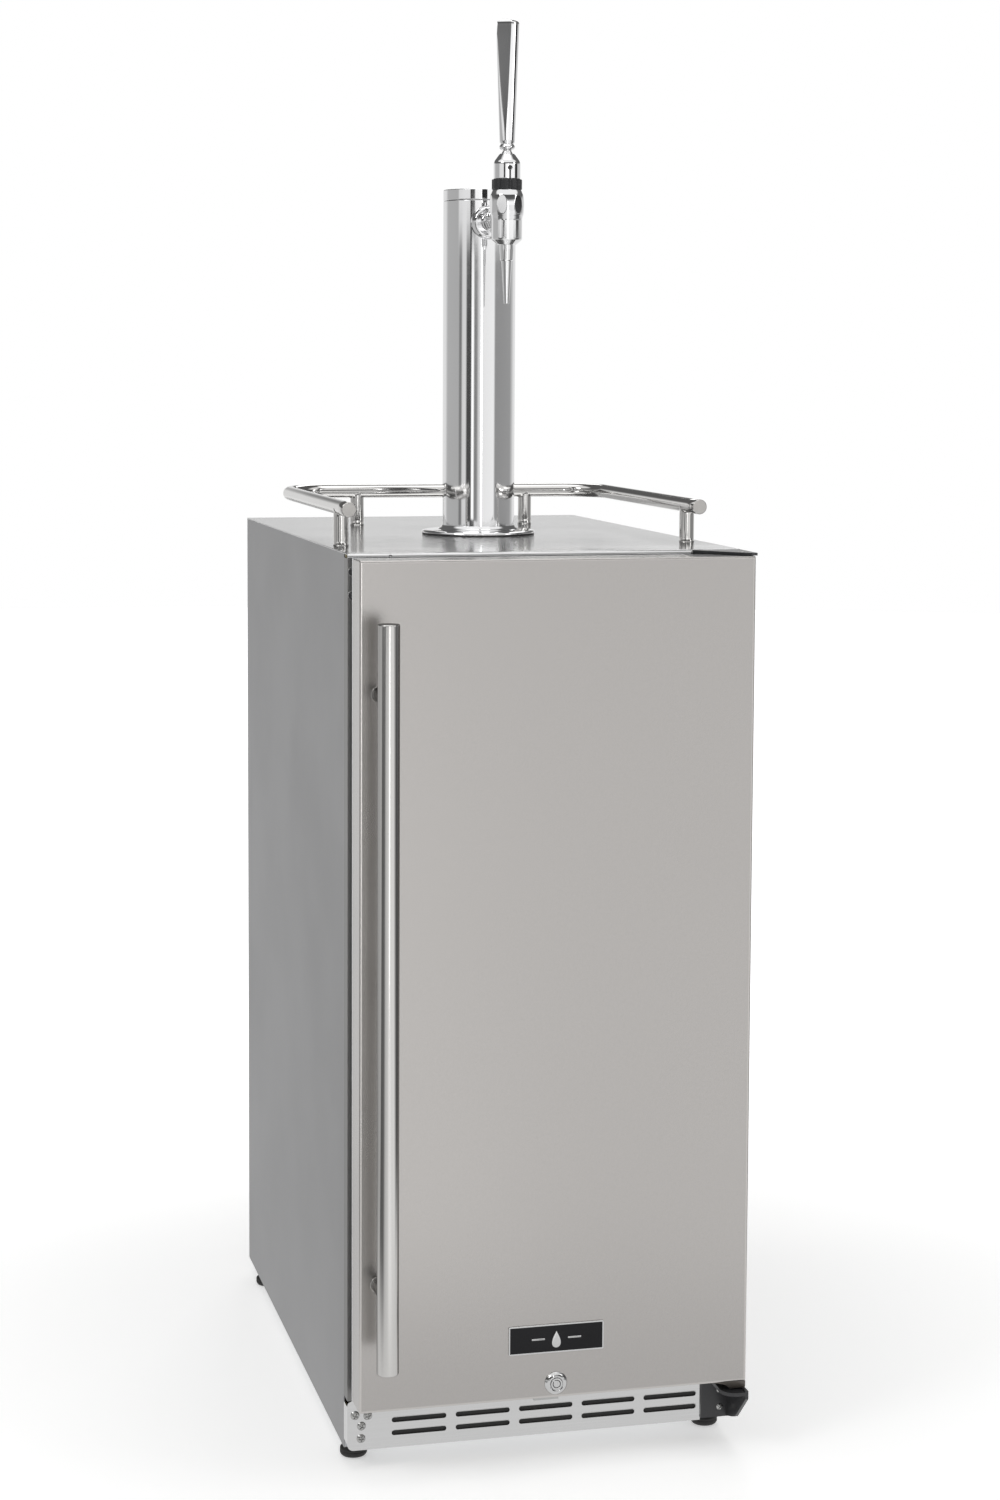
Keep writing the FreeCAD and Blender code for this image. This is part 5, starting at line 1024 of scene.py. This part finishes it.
def makeTapLever(s):
    # ellipses that widen upwards, each clipped by the cut planes: p less the part of p.n beyond d
    low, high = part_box("tap_lever")
    ball, pivot = s["ballRadius"], low.z + s["pivotRise"]
    turn = np.linspace(0, 2 * np.pi, 144, endpoint=False)
    circle = np.stack([np.cos(turn), np.sin(turn)], 1)
    # each row: height, half-width, half-depth and the cut planes' distance
    rows = [(pivot + ball * math.sin(t), ball * math.cos(t), ball * math.cos(t), s["uncut"])
            for t in np.linspace(-np.pi / 2, 0.66, 14)]
    ferrule = pivot + s["neckRise"]
    rows += [(height, radius, radius, s["uncut"]) for radius, height in
             softProfile([(r * mm, ferrule + rise * mm) for r, rise in s["ferrule"]], 0.6 * mm)]
    root, shoulder = ferrule + s["rootRise"], high.z - s["tipHeight"]
    for share in np.linspace(0, 1, 60):
        wide = s["rootRadius"] + (s["halfWidth"] - s["rootRadius"]) * share ** 0.95
        deep = s["rootDepth"] + (s["halfDepth"] - s["rootDepth"]) * share
        cutAway = s["cutRoot"] + (s["cutTop"] - s["cutRoot"]) * share
        rows.append((root + (shoulder - root) * share, wide, deep, cutAway))
    for t in np.linspace(0, np.pi / 2, 14)[1:]:
        shrink = max(1 - (1 - math.cos(t)) ** 1.3, 0.0) if t < 1.5 else 0.0
        rows.append((shoulder + s["tipHeight"] * math.sin(t), s["halfWidth"] * shrink, s["halfDepth"] * shrink,
                     s["cutTop"] * (0.35 + 0.65 * shrink)))
    rows = np.array(rows)
    x = circle[None, :, 0] * rows[:, 1:2]
    y = circle[None, :, 1] * rows[:, 2:3]
    for degrees in s["cutAngles"]:
        normal = (math.sin(math.radians(degrees)), -math.cos(math.radians(degrees)))
        beyond = x * normal[0] + y * normal[1] - rows[:, 3:4]
        # a soft knee keeps the ridge a little rounded
        over = (beyond + np.sqrt(beyond ** 2 + s["knee"] ** 2)) / 2
        x = x - over * normal[0]
        y = y - over * normal[1]
    points = np.stack([x + tapAxis[0], y + tapAxis[1], np.broadcast_to(rows[:, :1], x.shape)], -1)
    buildPiece("tapPaddle", [sheetOf(points)], "tap_lever", "chrome", ("tap_lever",))


makeTapBody(tap)
makeTapCollar(tap)
makeTapBonnet(tap)
makeTapNozzle(tap)
makeTapLever(tapHandle)
print("tower and tap made")

# ---- guard rail ----
guardRail = dict(corner=45.0 * mm, capEdge=0.5 * mm, weld=1.1 * mm, weldHeight=3.0 * mm, weldShare=0.35,
                 footFlare=0.4 * mm, footHeight=1.2 * mm, backPosts=93.0 * mm)


def makeRail(s):
    low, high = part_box("guard_rail")
    radius = (high.z - low.z) / 2
    centreZ = (low.z + high.z) / 2
    left, right, back = low.x + radius, high.x - radius, high.y - radius
    front = low.y
    corner = s["corner"]
    t = np.linspace(0, np.pi / 2, 25)
    start = [(left, front), (left, front + 0.0006), (left, front + 0.02), (left, (front + back) / 2)]
    bendLeft = [(left + corner - corner * math.cos(a), back - corner + corner * math.sin(a)) for a in t]
    bendRight = [(right - corner + corner * math.sin(a), back - corner + corner * math.cos(a)) for a in t]
    run = [(left + corner + (right - left - 2 * corner) * k / 6, back) for k in range(1, 6)]
    end = [(right, (front + back) / 2), (right, front + 0.02), (right, front + 0.0006), (right, front)]
    flat = np.array(start + bendLeft + run + bendRight + end)
    path = np.column_stack([flat, np.full(len(flat), centreZ)])
    points = carriedSheet(circleSection(radius, 64), path, (0, 0, 1))[0]
    # the ends are drawn in to a fine edge and closed by flat discs
    for row in (0, -1):
        points[row] = path[row] + (points[row] - path[row]) * (1 - s["capEdge"] / radius)
    buildPiece("railTube", [sheetOf(points)], "cabinet", "rail_steel", ("guard_rail",))
    disc = [(0.0, 0.18 * mm), (radius * 0.5, 0.18 * mm), (radius - 0.8 * mm, 0.15 * mm), (radius - 0.5 * mm, 0.0),
            (radius - 0.7 * mm, -0.4 * mm), (0.0, -0.5 * mm)]
    discs = [turnedSheet(disc, (x, front - 0.02 * mm, centreZ), "front", 64) for x in (left, right)]
    buildPiece("railEndDiscs", discs, "cabinet", "rail_steel", finish=discSteel)
    # posts: tubes whose tops follow the rail's underside, with a small weld swell there
    postLow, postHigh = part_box("rail_posts")
    postRadius = radius - 0.05 * mm
    base, frontY = postLow.z, postLow.y + postRadius
    spots = [(postLow.x + postRadius, frontY, np.cos), (postHigh.x - postRadius, frontY, np.cos),
             (-s["backPosts"], back, np.sin), (s["backPosts"], back, np.sin)]
    angle = np.linspace(0, 2 * np.pi, 96, endpoint=False)
    share = np.concatenate([[0, 0.03], np.linspace(0.15, 0.75, 5), np.linspace(0.84, 1, 8)])[:, None]
    sheets = []
    for x, y, sideways in spots:
        across = postRadius * sideways(angle)
        top = centreZ - np.sqrt(np.maximum(radius ** 2 - across ** 2, 0)) + 0.2 * mm
        z = base + (top[None] - base) * share
        nearTop = np.clip((z - (top[None] - s["weldHeight"])) / s["weldHeight"], 0, 1) ** 2
        nearFoot = np.clip(1 - (z - base) / s["footHeight"], 0, 1) ** 2
        swell = s["weld"] * s["weldShare"] * nearTop * np.abs(across) / postRadius
        r = postRadius + s["footFlare"] * nearFoot + swell
        sheets.append(sheetOf(np.stack([x + r * np.cos(angle), y + r * np.sin(angle), z], -1)))
    buildPiece("railPosts", sheets, "cabinet", "rail_steel", ("rail_posts",))


discSteel = brushedSteel("discSteel", (0.50, 0.49, 0.47), (0.72, 0.70, 0.68), (0.38, 0.5),
                         (900.0, 900.0, 900.0), 0.9, 0.2)
makeRail(guardRail)
print("rail made")

# ---- badge ----
badge = dict(border=1.5 * mm, corner=0.8 * mm, plateInset=1.0 * mm, plateDrop=0.9 * mm, dropHeight=16.5 * mm,
             dropWidth=12.0 * mm, dropLower=0.8 * mm, raised=0.35 * mm, foot=0.1 * mm,
             barFrom=11.0 * mm, barTo=24.0 * mm, barHeight=1.6 * mm)


def makeBadge(s):
    low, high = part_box("badge")
    front, door = low.y, high.y
    middleX, middleZ = (low.x + high.x) / 2, (low.z + high.z) / 2
    halfX, halfZ = (high.x - low.x) / 2, (high.z - low.z) / 2
    # the border: a small domed section carried round the plate's outline
    half, rise = s["border"] / 2, door - front
    path = roundedOutline(halfX - half, halfZ - half, s["corner"], 3)
    path = np.stack([path[:, 0] + middleX, np.full(len(path), door), path[:, 1] + middleZ], 1)
    section = softProfile([(-half, 0), (-half, rise * 0.75), (-half * 0.55, rise), (half * 0.55, rise),
                           (half, rise * 0.75), (half, 0)], 0.2 * mm)
    buildPiece("badgeBorder", [carriedSheet(section, path, (0, -1, 0), True)], "door", "lock_chrome")
    inset, plane = s["plateInset"], door - s["plateDrop"]
    slab, _ = roundedSlab((low.x + inset, plane, low.z + inset), (high.x - inset, door, high.z - inset),
                          0.6 * mm, 0.15 * mm, "y")
    buildPiece("badgePlate", [slab], "door", "badge_plate", ("badge",))
    # a plain drop: half-width grows from the tip as sin and closes as a circle below
    t = np.linspace(0, 2 * np.pi, 72, endpoint=False)
    dropX = s["dropWidth"] / 2 * np.sin(t) * np.sin(t / 2) ** 1.4
    dropZ = s["dropHeight"] / 2 * np.cos(t)
    raised, foot = s["raised"], s["foot"]
    rows = [(1.0, foot), (1.0, -raised * 0.6), (0.93, -raised), (0.5, -raised * 1.1), (0.0, -raised * 1.15)]
    points = np.array([np.stack([middleX + dropX * k, np.full(len(t), plane + y),
                                 middleZ - s["dropLower"] + dropZ * k], 1) for k, y in rows])
    sheets = [sheetOf(points, caps=False)]
    # one plain bar to either side of the drop
    for side in (-1, 1):
        start, end = middleX + side * s["barFrom"], middleX + side * s["barTo"]
        bar, _ = roundedSlab((min(start, end), plane - raised, middleZ - s["barHeight"] / 2),
                             (max(start, end), plane + foot, middleZ + s["barHeight"] / 2),
                             s["barHeight"] * 0.45, 0.12 * mm, "y")
        sheets.append(bar)
    buildPiece("badgeMotif", sheets, "door", "lock_chrome")


makeBadge(badge)

# ---- lock ----
lock = dict(
    bore=5.56 * mm, sleeve=9.0 * mm,
    # the bezel's face: inwards from its rim or outwards from its bore, and back from its front
    bezelFace=((1.6, 0.9), (3.4, 0.05)), bezelBore=((1.6, 0.0), (0.4, 0.6), (0.0, 1.2)),
    keyRadius=5.5 * mm, keyCrown=0.35 * mm, keyEdge=0.2 * mm, keyLength=3.0 * mm, pressed=1.6 * mm,
    ringOuter=3.9 * mm, ringInner=3.1 * mm, slotHalf=0.85 * mm, slotReach=2.6 * mm,
)


def makeLock(s):
    low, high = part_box("lock_barrel")
    x, z = (low.x + high.x) / 2, (low.z + high.z) / 2
    outer, bore, edge = (high.x - low.x) / 2, s["bore"], s["keyEdge"]
    seat, front = high.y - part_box("door_skin")[0].y, high.y - low.y
    profile = [(bore, 0), (s["sleeve"], 0), (s["sleeve"], seat), (outer - 0.1 * mm, seat + 0.05 * mm),
               (outer, seat + 0.7 * mm)]
    profile += [(outer - inset * mm, front - back * mm) for inset, back in s["bezelFace"]]
    profile += [(bore + out * mm, front - back * mm) for out, back in s["bezelBore"]]
    profile = closedRing(softProfile(profile, 0.7 * mm))
    buildPiece("lockBezel", [turnedSheet(profile, (x, high.y, z), "front", 128)], "door", "lock_chrome",
               ("lock_barrel",))
    # the key face: a disc with a round groove and a slot, pressed in where their distance is negative
    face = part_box("lock_plug")[0].y
    radius = np.concatenate([[0], np.linspace(0.4 * mm, s["keyRadius"] - 0.1 * mm, 44), [s["keyRadius"]]])
    height = np.full(len(radius), s["keyCrown"])
    height[-1] = -edge
    inner, rim, half, reach = s["ringInner"], s["ringOuter"], s["slotHalf"], s["slotReach"]

    def keyed(r, angle, level):
        ring = np.abs(r - (rim + inner) / 2) - (rim - inner) / 2
        slot = np.maximum(np.abs(r * np.cos(angle)) - half, np.abs(r * np.sin(angle)) - reach)
        return r, level - s["pressed"] * np.clip(-np.minimum(ring, slot) / (0.12 * mm), 0, 1)

    disc = turnedSheet(np.stack([radius, height], 1), (x, face, z), "front", 128, keyed)
    side = [(s["keyRadius"], -edge), (s["keyRadius"], -s["keyLength"]), (0.0, -s["keyLength"])]
    buildPiece("lockKeyFace", [disc, turnedSheet(side, (x, face, z), "front", 128)], "lock", "lock_chrome")
    # painted shade: a black ring and slot just inside the groove and the slot, for the shade in the keyway
    groove = turnedSheet([(inner, -edge), (rim, -edge), (rim, -4 * edge), (inner, -4 * edge), (inner, -edge)],
                         (x, face, z), "front", 96)
    slot, _ = roundedSlab((x - half, face + 0.1 * mm, z - reach), (x + half, face + 0.8 * mm, z + reach),
                          0.3 * mm, 0.1 * mm, "y")
    buildPiece("lockKeywayShade", [groove, slot], "lock", "lock_chrome", finish=finishes["black_plastic"])


makeLock(lock)

# ---- screws ----
screws = dict(
    crown=0.24, recessReach=0.66, recessHalf=0.17, recessDepth=0.85,
    # grille screws from its lower left corner, then the hinge leaves' screws
    grilleSpots=((7.3, 34.1), (19.5, 33.0), (13.5, 23.4), (13.1, 11.3)), grilleRadius=4.3 * mm,
    upperInsets=(10.0, 36.0), upperDrop=9.0 * mm, upperRadius=3.5 * mm,
    lowerRises=(10.0, 27.0), lowerInset=10.0 * mm, lowerRadius=3.2 * mm, leafFront=2.5 * mm,
    # the hinge pin's line from the upper leaf's right end and the grille's face
    pinInset=10.5 * mm, pinBack=34.6 * mm, washerRise=43.7 * mm,
    washer=((4.06, 0.0), (5.8, 0.0), (5.8, 1.2), (4.06, 1.2)),
    pinHead=((0.0, 0.24), (1.8, 0.20), (3.0, 0.08), (3.4, -0.1), (3.4, -0.6), (0.0, -0.6)),
)


def screwSheet(centre, radius, s, turn):
    # a dome z = crown * (1 - (r/R)^2) less a cross-shaped recess, facing forward
    crown = radius * 2 * s["crown"]
    r = np.concatenate([np.linspace(0, radius * 0.97, 26), [radius * 0.99, radius, radius]])
    height = crown * (1 - (np.minimum(r, radius * 0.97) / radius) ** 2.4)
    height[-3:] = (crown * 0.05, crown * 0.02, -0.0002)
    profile = np.stack([r, height], 1)

    def crossed(rr, angle, level):
        a, b = rr * np.cos(angle + turn), rr * np.sin(angle + turn)
        across = np.minimum(np.maximum(np.abs(a) - radius * s["recessReach"], np.abs(b) - radius * s["recessHalf"]),
                            np.maximum(np.abs(b) - radius * s["recessReach"], np.abs(a) - radius * s["recessHalf"]))
        pressed = np.clip(-across / (radius * 0.10), 0, 1)
        return rr, level - crown * s["recessDepth"] * pressed

    return turnedSheet(profile, centre, "front", 96, crossed)


def makeScrews(s):
    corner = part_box("kick_grille")[0]
    sheets = [screwSheet((corner.x + inset * mm, corner.y, corner.z + rise * mm), s["grilleRadius"], s,
                         0.4 + index * 0.9) for index, (inset, rise) in enumerate(s["grilleSpots"])]
    buildPiece("grilleScrews", sheets, "cabinet", "fastener_steel", ("front_screws",))
    upperLow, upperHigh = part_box("top_hinge_bracket")
    lowerLow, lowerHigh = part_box("bottom_hinge_bracket")
    leaf = corner.y - s["leafFront"]
    sheets = [screwSheet((upperLow.x + inset * mm, leaf, upperHigh.z - s["upperDrop"]), s["upperRadius"], s, 0.7 * k)
              for k, inset in enumerate(s["upperInsets"])]
    sheets += [screwSheet((lowerHigh.x - s["lowerInset"], leaf, lowerLow.z + rise * mm), s["lowerRadius"], s, 0.5)
               for rise in s["lowerRises"]]
    buildPiece("hingeScrews", sheets, "cabinet", "fastener_steel")
    # the washer round the lower pin, and the domed head of the upper one
    pinX, pinY = upperHigh.x - s["pinInset"], corner.y - s["pinBack"]
    washer = closedRing(softProfile(np.array(s["washer"]) * mm, 0.3 * mm))
    washerZ = lowerLow.z + s["washerRise"]
    buildPiece("hingeWasher", [turnedSheet(washer, (pinX, pinY, washerZ), segments=64)], "cabinet", "fastener_steel")
    head = turnedSheet(np.array(s["pinHead"]) * mm, (pinX, pinY, upperHigh.z), segments=48)
    buildPiece("hingePinHead", [head], "cabinet", "fastener_steel")


makeScrews(screws)

# ---- plugs in the spare hinge holes ----
plugs = dict(radius=3.75 * mm, crown=1.7 * mm, collar=4.5 * mm)


def makePlugs(s):
    low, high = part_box("hinge_hole_plugs")
    face = high.y
    radius = s["radius"]
    # a dome: radius times sine, crown times cosine
    dome = [(radius * math.sin(a), s["crown"] * math.cos(a)) for a in np.linspace(0, np.pi / 2, 10)]
    profile = dome + [(radius + 0.15 * mm, -0.1 * mm), (0.0, -0.3 * mm)]
    spots = [((low.x + high.x) / 2, face, high.z - radius), ((low.x + high.x) / 2, face, low.z + radius)]
    buildPiece("holePlugs", [turnedSheet(profile, spot, "front", 48) for spot in spots], "cabinet", "black_plastic",
               ("hinge_hole_plugs",))
    inner = radius + 0.1 * mm
    ring = closedRing(softProfile([(inner, 0.2 * mm), (radius + 0.3 * mm, 0.35 * mm),
                                   (s["collar"] - 0.2 * mm, 0.3 * mm), (s["collar"], 0.0), (inner, -0.2 * mm)],
                                  0.1 * mm))
    buildPiece("holeRims", [turnedSheet(ring, spot, "front", 48) for spot in spots], "cabinet", "fastener_steel")


makePlugs(plugs)

# ---- kick grille ----
grille = dict(columns=5, rows=3, width=53.4 * mm, height=5.3 * mm, pitchX=61.9 * mm, pitchZ=12.5 * mm,
              firstX=68.9 * mm, firstZ=14.2 * mm, lip=0.32 * mm, proud=0.16 * mm, lipFront=0.05 * mm)
# the shade sheet's margins to the grille's left, bottom, right and top, and how far behind its face it stands: a black
# sheet painted in for the shade behind the slots
grilleShadeSheet = dict(left=20 * mm, bottom=8 * mm, right=1.2 * mm, top=2 * mm, behind=1.6 * mm, thick=0.6 * mm,
                    corner=2 * mm, edge=0.2 * mm)


def makeSlotRims(s):
    # the pressed lip of each slot: a small round section carried round a long oval
    low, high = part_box("kick_grille")
    face = low.y
    straight = s["width"] / 2 - s["height"] / 2
    turn = np.linspace(-np.pi / 2, np.pi / 2, 13)
    right = np.stack([straight + s["height"] / 2 * np.cos(turn), s["height"] / 2 * np.sin(turn)], 1)
    oval = np.vstack([right, -right])
    angle = np.linspace(0, 2 * np.pi, 12, endpoint=False)
    section = np.stack([s["lip"] * np.cos(angle), s["proud"] * np.sin(angle)], 1)
    sheets = []
    for column in range(s["columns"]):
        for row in range(s["rows"]):
            x = low.x + s["firstX"] + column * s["pitchX"]
            z = low.z + s["firstZ"] + row * s["pitchZ"]
            path = np.stack([oval[:, 0] + x, np.full(len(oval), face + s["lipFront"]), oval[:, 1] + z], 1)
            sheets.append(carriedSheet(section, path, (0, -1, 0), True))
    buildPiece("slotLips", sheets, "cabinet", "top_steel")


makeSlotRims(grille)


def makeGrilleShadeSheet(s):
    # painted shade: a black sheet close behind the slots, for the shade seen through them
    low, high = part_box("kick_grille")
    front = low.y + s["behind"]
    slab, _ = roundedSlab((low.x + s["left"], front, low.z + s["bottom"]),
                          (high.x - s["right"], front + s["thick"], high.z - s["top"]), s["corner"], s["edge"], "y")
    buildPiece("grilleShadeSheet", [slab], "cabinet", "black_rubber")


makeGrilleShadeSheet(grilleShadeSheet)

# ---- feet ----
feet = dict(
    # the glide: inwards from its rim, with the height; then the nut and the stud
    glide=((6.0, 0.6), (4.5, 0.0), (1.4, 0.3), (0.0, 2.4), (0.0, 4.6), (0.5, 5.2), (0.0, 5.8), (0.0, 7.4), (2.2, 9.4)),
    neck=7.8 * mm, neckFoot=10.1 * mm, neckTop=10.6 * mm, soften=0.7 * mm,
    nut=((0.0, 10.4), (6.9, 10.4), (7.5, 10.8), (7.5, 14.1), (6.9, 14.5), (0.0, 14.5)), nutFlat=6.6 * mm,
    studFoot=14.3 * mm, thread=1.25 * mm, threadRoot=3.45 * mm, threadDepth=0.5 * mm, studRadius=4.0 * mm,
)


def makeFoot(body, s):
    low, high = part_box(body)
    centre = centreOf(body)
    radius = (high.x - low.x) / 2
    profile = [(0, s["glide"][0][1] * mm)] + [(radius - inset * mm, rise * mm) for inset, rise in s["glide"]]
    profile = softProfile(profile + [(s["neck"], s["neckFoot"]), (s["neck"], s["neckTop"])], s["soften"])
    glide = turnedSheet(np.vstack([profile, [(0.0, s["neckTop"])]]), centre, segments=72)

    def sixSided(r, angle, level):
        # a hexagon: the radius divided by the cosine of the angle from the nearest flat
        away = (angle + np.pi / 6) % (np.pi / 3) - np.pi / 6
        return np.where(r > 6.5 * mm, np.minimum(r, s["nutFlat"] / np.cos(away)), r), level

    nut = turnedSheet(np.array(s["nut"]) * mm, centre, segments=72, shape=sixSided)
    # the stud's thread: radius rises and falls as a saw along its height, turned with the angle
    z = np.linspace(s["studFoot"], high.z, 260)
    thread = np.stack([np.full(len(z), s["studRadius"]), z], 1)
    thread = np.vstack([[(0.0, z[0])], thread, [(0.0, z[-1])]])

    def threaded(r, angle, level):
        saw = 1 - np.abs(2 * ((level / s["thread"] - angle / (2 * np.pi)) % 1.0) - 1)
        return np.where(r > 1 * mm, s["threadRoot"] + s["threadDepth"] * saw, r), level

    stud = turnedSheet(thread, centre, segments=32, shape=threaded)
    name = body.replace("_", "")
    buildPiece(name + "Glide", [glide, nut], body, "black_rubber", (body,))
    buildPiece(name + "Stud", [stud], body, "black_rubber", finish=finishes["galvanised"])


for footName in ("foot_front_left", "foot_front_right", "foot_rear_left", "foot_rear_right"):
    makeFoot(footName, feet)

# ---- door seal ----
seal = dict(
    corner=9.0 * mm, width=17.0 * mm, soften=0.9 * mm,
    # half of the bellows: share of the half-width and share of the depth, from the door outwards
    bellows=((1.0, 0.0), (0.98, 0.12), (0.60, 0.30), (0.98, 0.48), (0.62, 0.64), (0.96, 0.80), (0.86, 0.97), (0.40, 1.0)),
)


def makeSeal(s):
    # a bellows section (across, outwards from the door) carried round the door
    low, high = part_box("door_gasket")
    across, depth = s["width"] / 2, high.y - low.y
    half = np.array(s["bellows"]) * (across, depth)
    section = softProfile(np.vstack([half * (-1, 1), half[::-1]]), s["soften"], 3)
    outline = roundedOutline((high.x - low.x) / 2 - across, (high.z - low.z) / 2 - across, s["corner"], 8)
    path = np.stack([outline[:, 0] + (low.x + high.x) / 2, np.full(len(outline), low.y),
                     outline[:, 1] + (low.z + high.z) / 2], 1)
    buildPiece("doorSeal", [carriedSheet(section, path, (0, 1, 0), True)], "door", "seal_grey", ("door_gasket",))


makeSeal(seal)

# ---- inner door panel ----
innerDoor = dict(padCorner=14.0 * mm, padSlope=7.0 * mm, recessInset=26.0 * mm, recessDepth=5.0 * mm, grid=(150, 300),
                 padLow=(-0.143, 0.126), padHigh=(0.143, 0.811), padShare=0.98)


def makeInnerDoor(s):
    # a height field over the door: a raised pad with a sunk middle, each edge a smooth step of the
    # distance to a rounded rectangle
    low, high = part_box("door_liner")
    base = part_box("door_gasket")[0].y
    columns, rows = s["grid"]
    x = np.linspace(low.x, high.x, columns)
    z = np.linspace(low.z, high.z, rows)
    gridX, gridZ = np.meshgrid(x, z)
    padLow, padHigh = s["padLow"], s["padHigh"]

    def inside(inset, corner, slope):
        halfX = (padHigh[0] - padLow[0]) / 2 - inset
        halfZ = (padHigh[1] - padLow[1]) / 2 - inset
        qx = np.abs(gridX - (padLow[0] + padHigh[0]) / 2) - (halfX - corner)
        qz = np.abs(gridZ - (padLow[1] + padHigh[1]) / 2) - (halfZ - corner)
        distance = np.hypot(np.maximum(qx, 0), np.maximum(qz, 0)) + np.minimum(np.maximum(qx, qz), 0) - corner
        t = np.clip(-distance / slope, 0, 1)
        return t * t * (3 - 2 * t)

    rise = (high.y - base) * s["padShare"] * inside(0.0, s["padCorner"], s["padSlope"])
    sink = s["recessDepth"] * inside(s["recessInset"], s["padCorner"] * 0.8, s["padSlope"])
    y = base + rise - sink
    front = np.stack([gridX, y, gridZ], -1)
    back = np.stack([gridX, np.full_like(y, low.y), gridZ], -1)

    def border(grid):
        return np.vstack([grid[0, :-1], grid[:-1, -1], grid[-1, :0:-1], grid[:0:-1, 0]])

    walls = np.stack([border(front), border(back)])
    sheets = [sheetOf(front, False, False, False), sheetOf(walls, False, True, False),
              sheetOf(back, False, False, False)]
    buildPiece("innerDoorPanel", sheets, "door", "white_liner", ("door_liner",))


makeInnerDoor(innerDoor)
print("door, lock and base details made")

# ---- rear louvres ----
louvres = dict(width=120.0 * mm, pitch=14.0 * mm, count=9, drop=29.5 * mm, column=82.0 * mm, hood=3.4 * mm,
               height=7.0 * mm, sunk=0.6 * mm, thick=0.4 * mm)


def makeLouvres(s):
    # each hood is a half barrel pressed inwards over its slot: depth falls to nothing at the ends
    low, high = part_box("rear_cover")
    face = high.y - s["sunk"]
    across = np.linspace(-1, 1, 25)
    around = np.linspace(0, np.pi, 9)[:, None]
    depth = s["hood"] * np.sin(around) * (1 - across ** 4)
    rise = s["height"] / 2 * np.cos(around) * np.sqrt(np.clip(1 - across ** 6, 0, 1))
    sheets = []
    for row in range(s["count"]):
        z = high.z - s["drop"] - row * s["pitch"]
        for side in (-1, 1):
            x = np.broadcast_to(side * s["column"] + across * s["width"] / 2, depth.shape)
            points = np.stack([x, face - depth, z + rise], -1)
            inner = points + np.array([0, s["thick"], 0])
            sheets.append(sheetOf(np.vstack([points, inner[::-1]]), True, False, False))
    buildPiece("louvreHoods", sheets, "cabinet", "galvanised")


makeLouvres(louvres)

# ---- compressor ----
compressorCan = dict(
    radius=64.0 * mm, plateRise=13.2 * mm, seamHeight=76.0 * mm, seamHalf=1.5 * mm,
    # the can inwards from its radius: up from the plate, then down from the top
    lower=((22.0, 8.0), (7.0, 14.0), (2.0, 30.0)), upper=((3.0, 40.0), (10.0, 16.0), (30.0, 2.0)),
    plateHalf=(64.0 * mm, 52.0 * mm), plateBelow=1.2 * mm, plateAbove=1.8 * mm,
    mountSpots=(52.0 * mm, 40.0 * mm),
    # a mount up from the floor of its bay, then round the plate
    mountFoot=((0.0, 0.0), (5.0, 0.0), (5.0, 1.2), (9.0, 1.6), (8.5, 6.0)),
    mountTop=((9.0, -1.2), (4.0, -1.2), (4.0, 1.8), (6.0, 2.0), (5.5, 4.2), (0.0, 4.3)),
)


def makeCompressor(s):
    low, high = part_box("compressor")
    centre = centreOf("compressor")
    base, can, top = low.z + s["plateRise"], s["radius"], high.z
    seam, half, wall = base + s["seamHeight"], s["seamHalf"], can - 2 * mm
    profile = [(0, base + s["lower"][0][1] * mm)]
    profile += [(can - inset * mm, base + rise * mm) for inset, rise in s["lower"]]
    profile += [(wall, seam - 2 * half), (can, seam - half), (can, seam + half), (wall, seam + 2 * half)]
    profile += [(can - inset * mm, top - drop * mm) for inset, drop in s["upper"]]
    body = turnedSheet(softProfile(profile + [(0, top)], 6 * mm, 6), centre, segments=128)
    halfX, halfY = s["plateHalf"]
    plate, _ = roundedSlab((centre[0] - halfX, centre[1] - halfY, base - s["plateBelow"]),
                           (centre[0] + halfX, centre[1] + halfY, base + s["plateAbove"]), 8 * mm, 0.6 * mm)
    neck = turnedSheet([(0.0, base), (30 * mm, base), (28 * mm, base + 10 * mm), (0.0, base + 10 * mm)], centre,
                       segments=64)
    buildPiece("compressorCan", [body, plate, neck], "cabinet", "black_steel", ("compressor",))
    mount = [(r * mm, low.z + rise * mm) for r, rise in s["mountFoot"]]
    mount = softProfile(mount + [(r * mm, base + rise * mm) for r, rise in s["mountTop"]], 0.6 * mm)
    spotX, spotY = s["mountSpots"]
    sheets = [turnedSheet(mount, (centre[0] + dx, centre[1] + dy, 0), segments=48)
              for dx in (-spotX, spotX) for dy in (-spotY, spotY)]
    buildPiece("compressorMounts", sheets, "cabinet", "black_rubber")


makeCompressor(compressorCan)
print("rear details made")
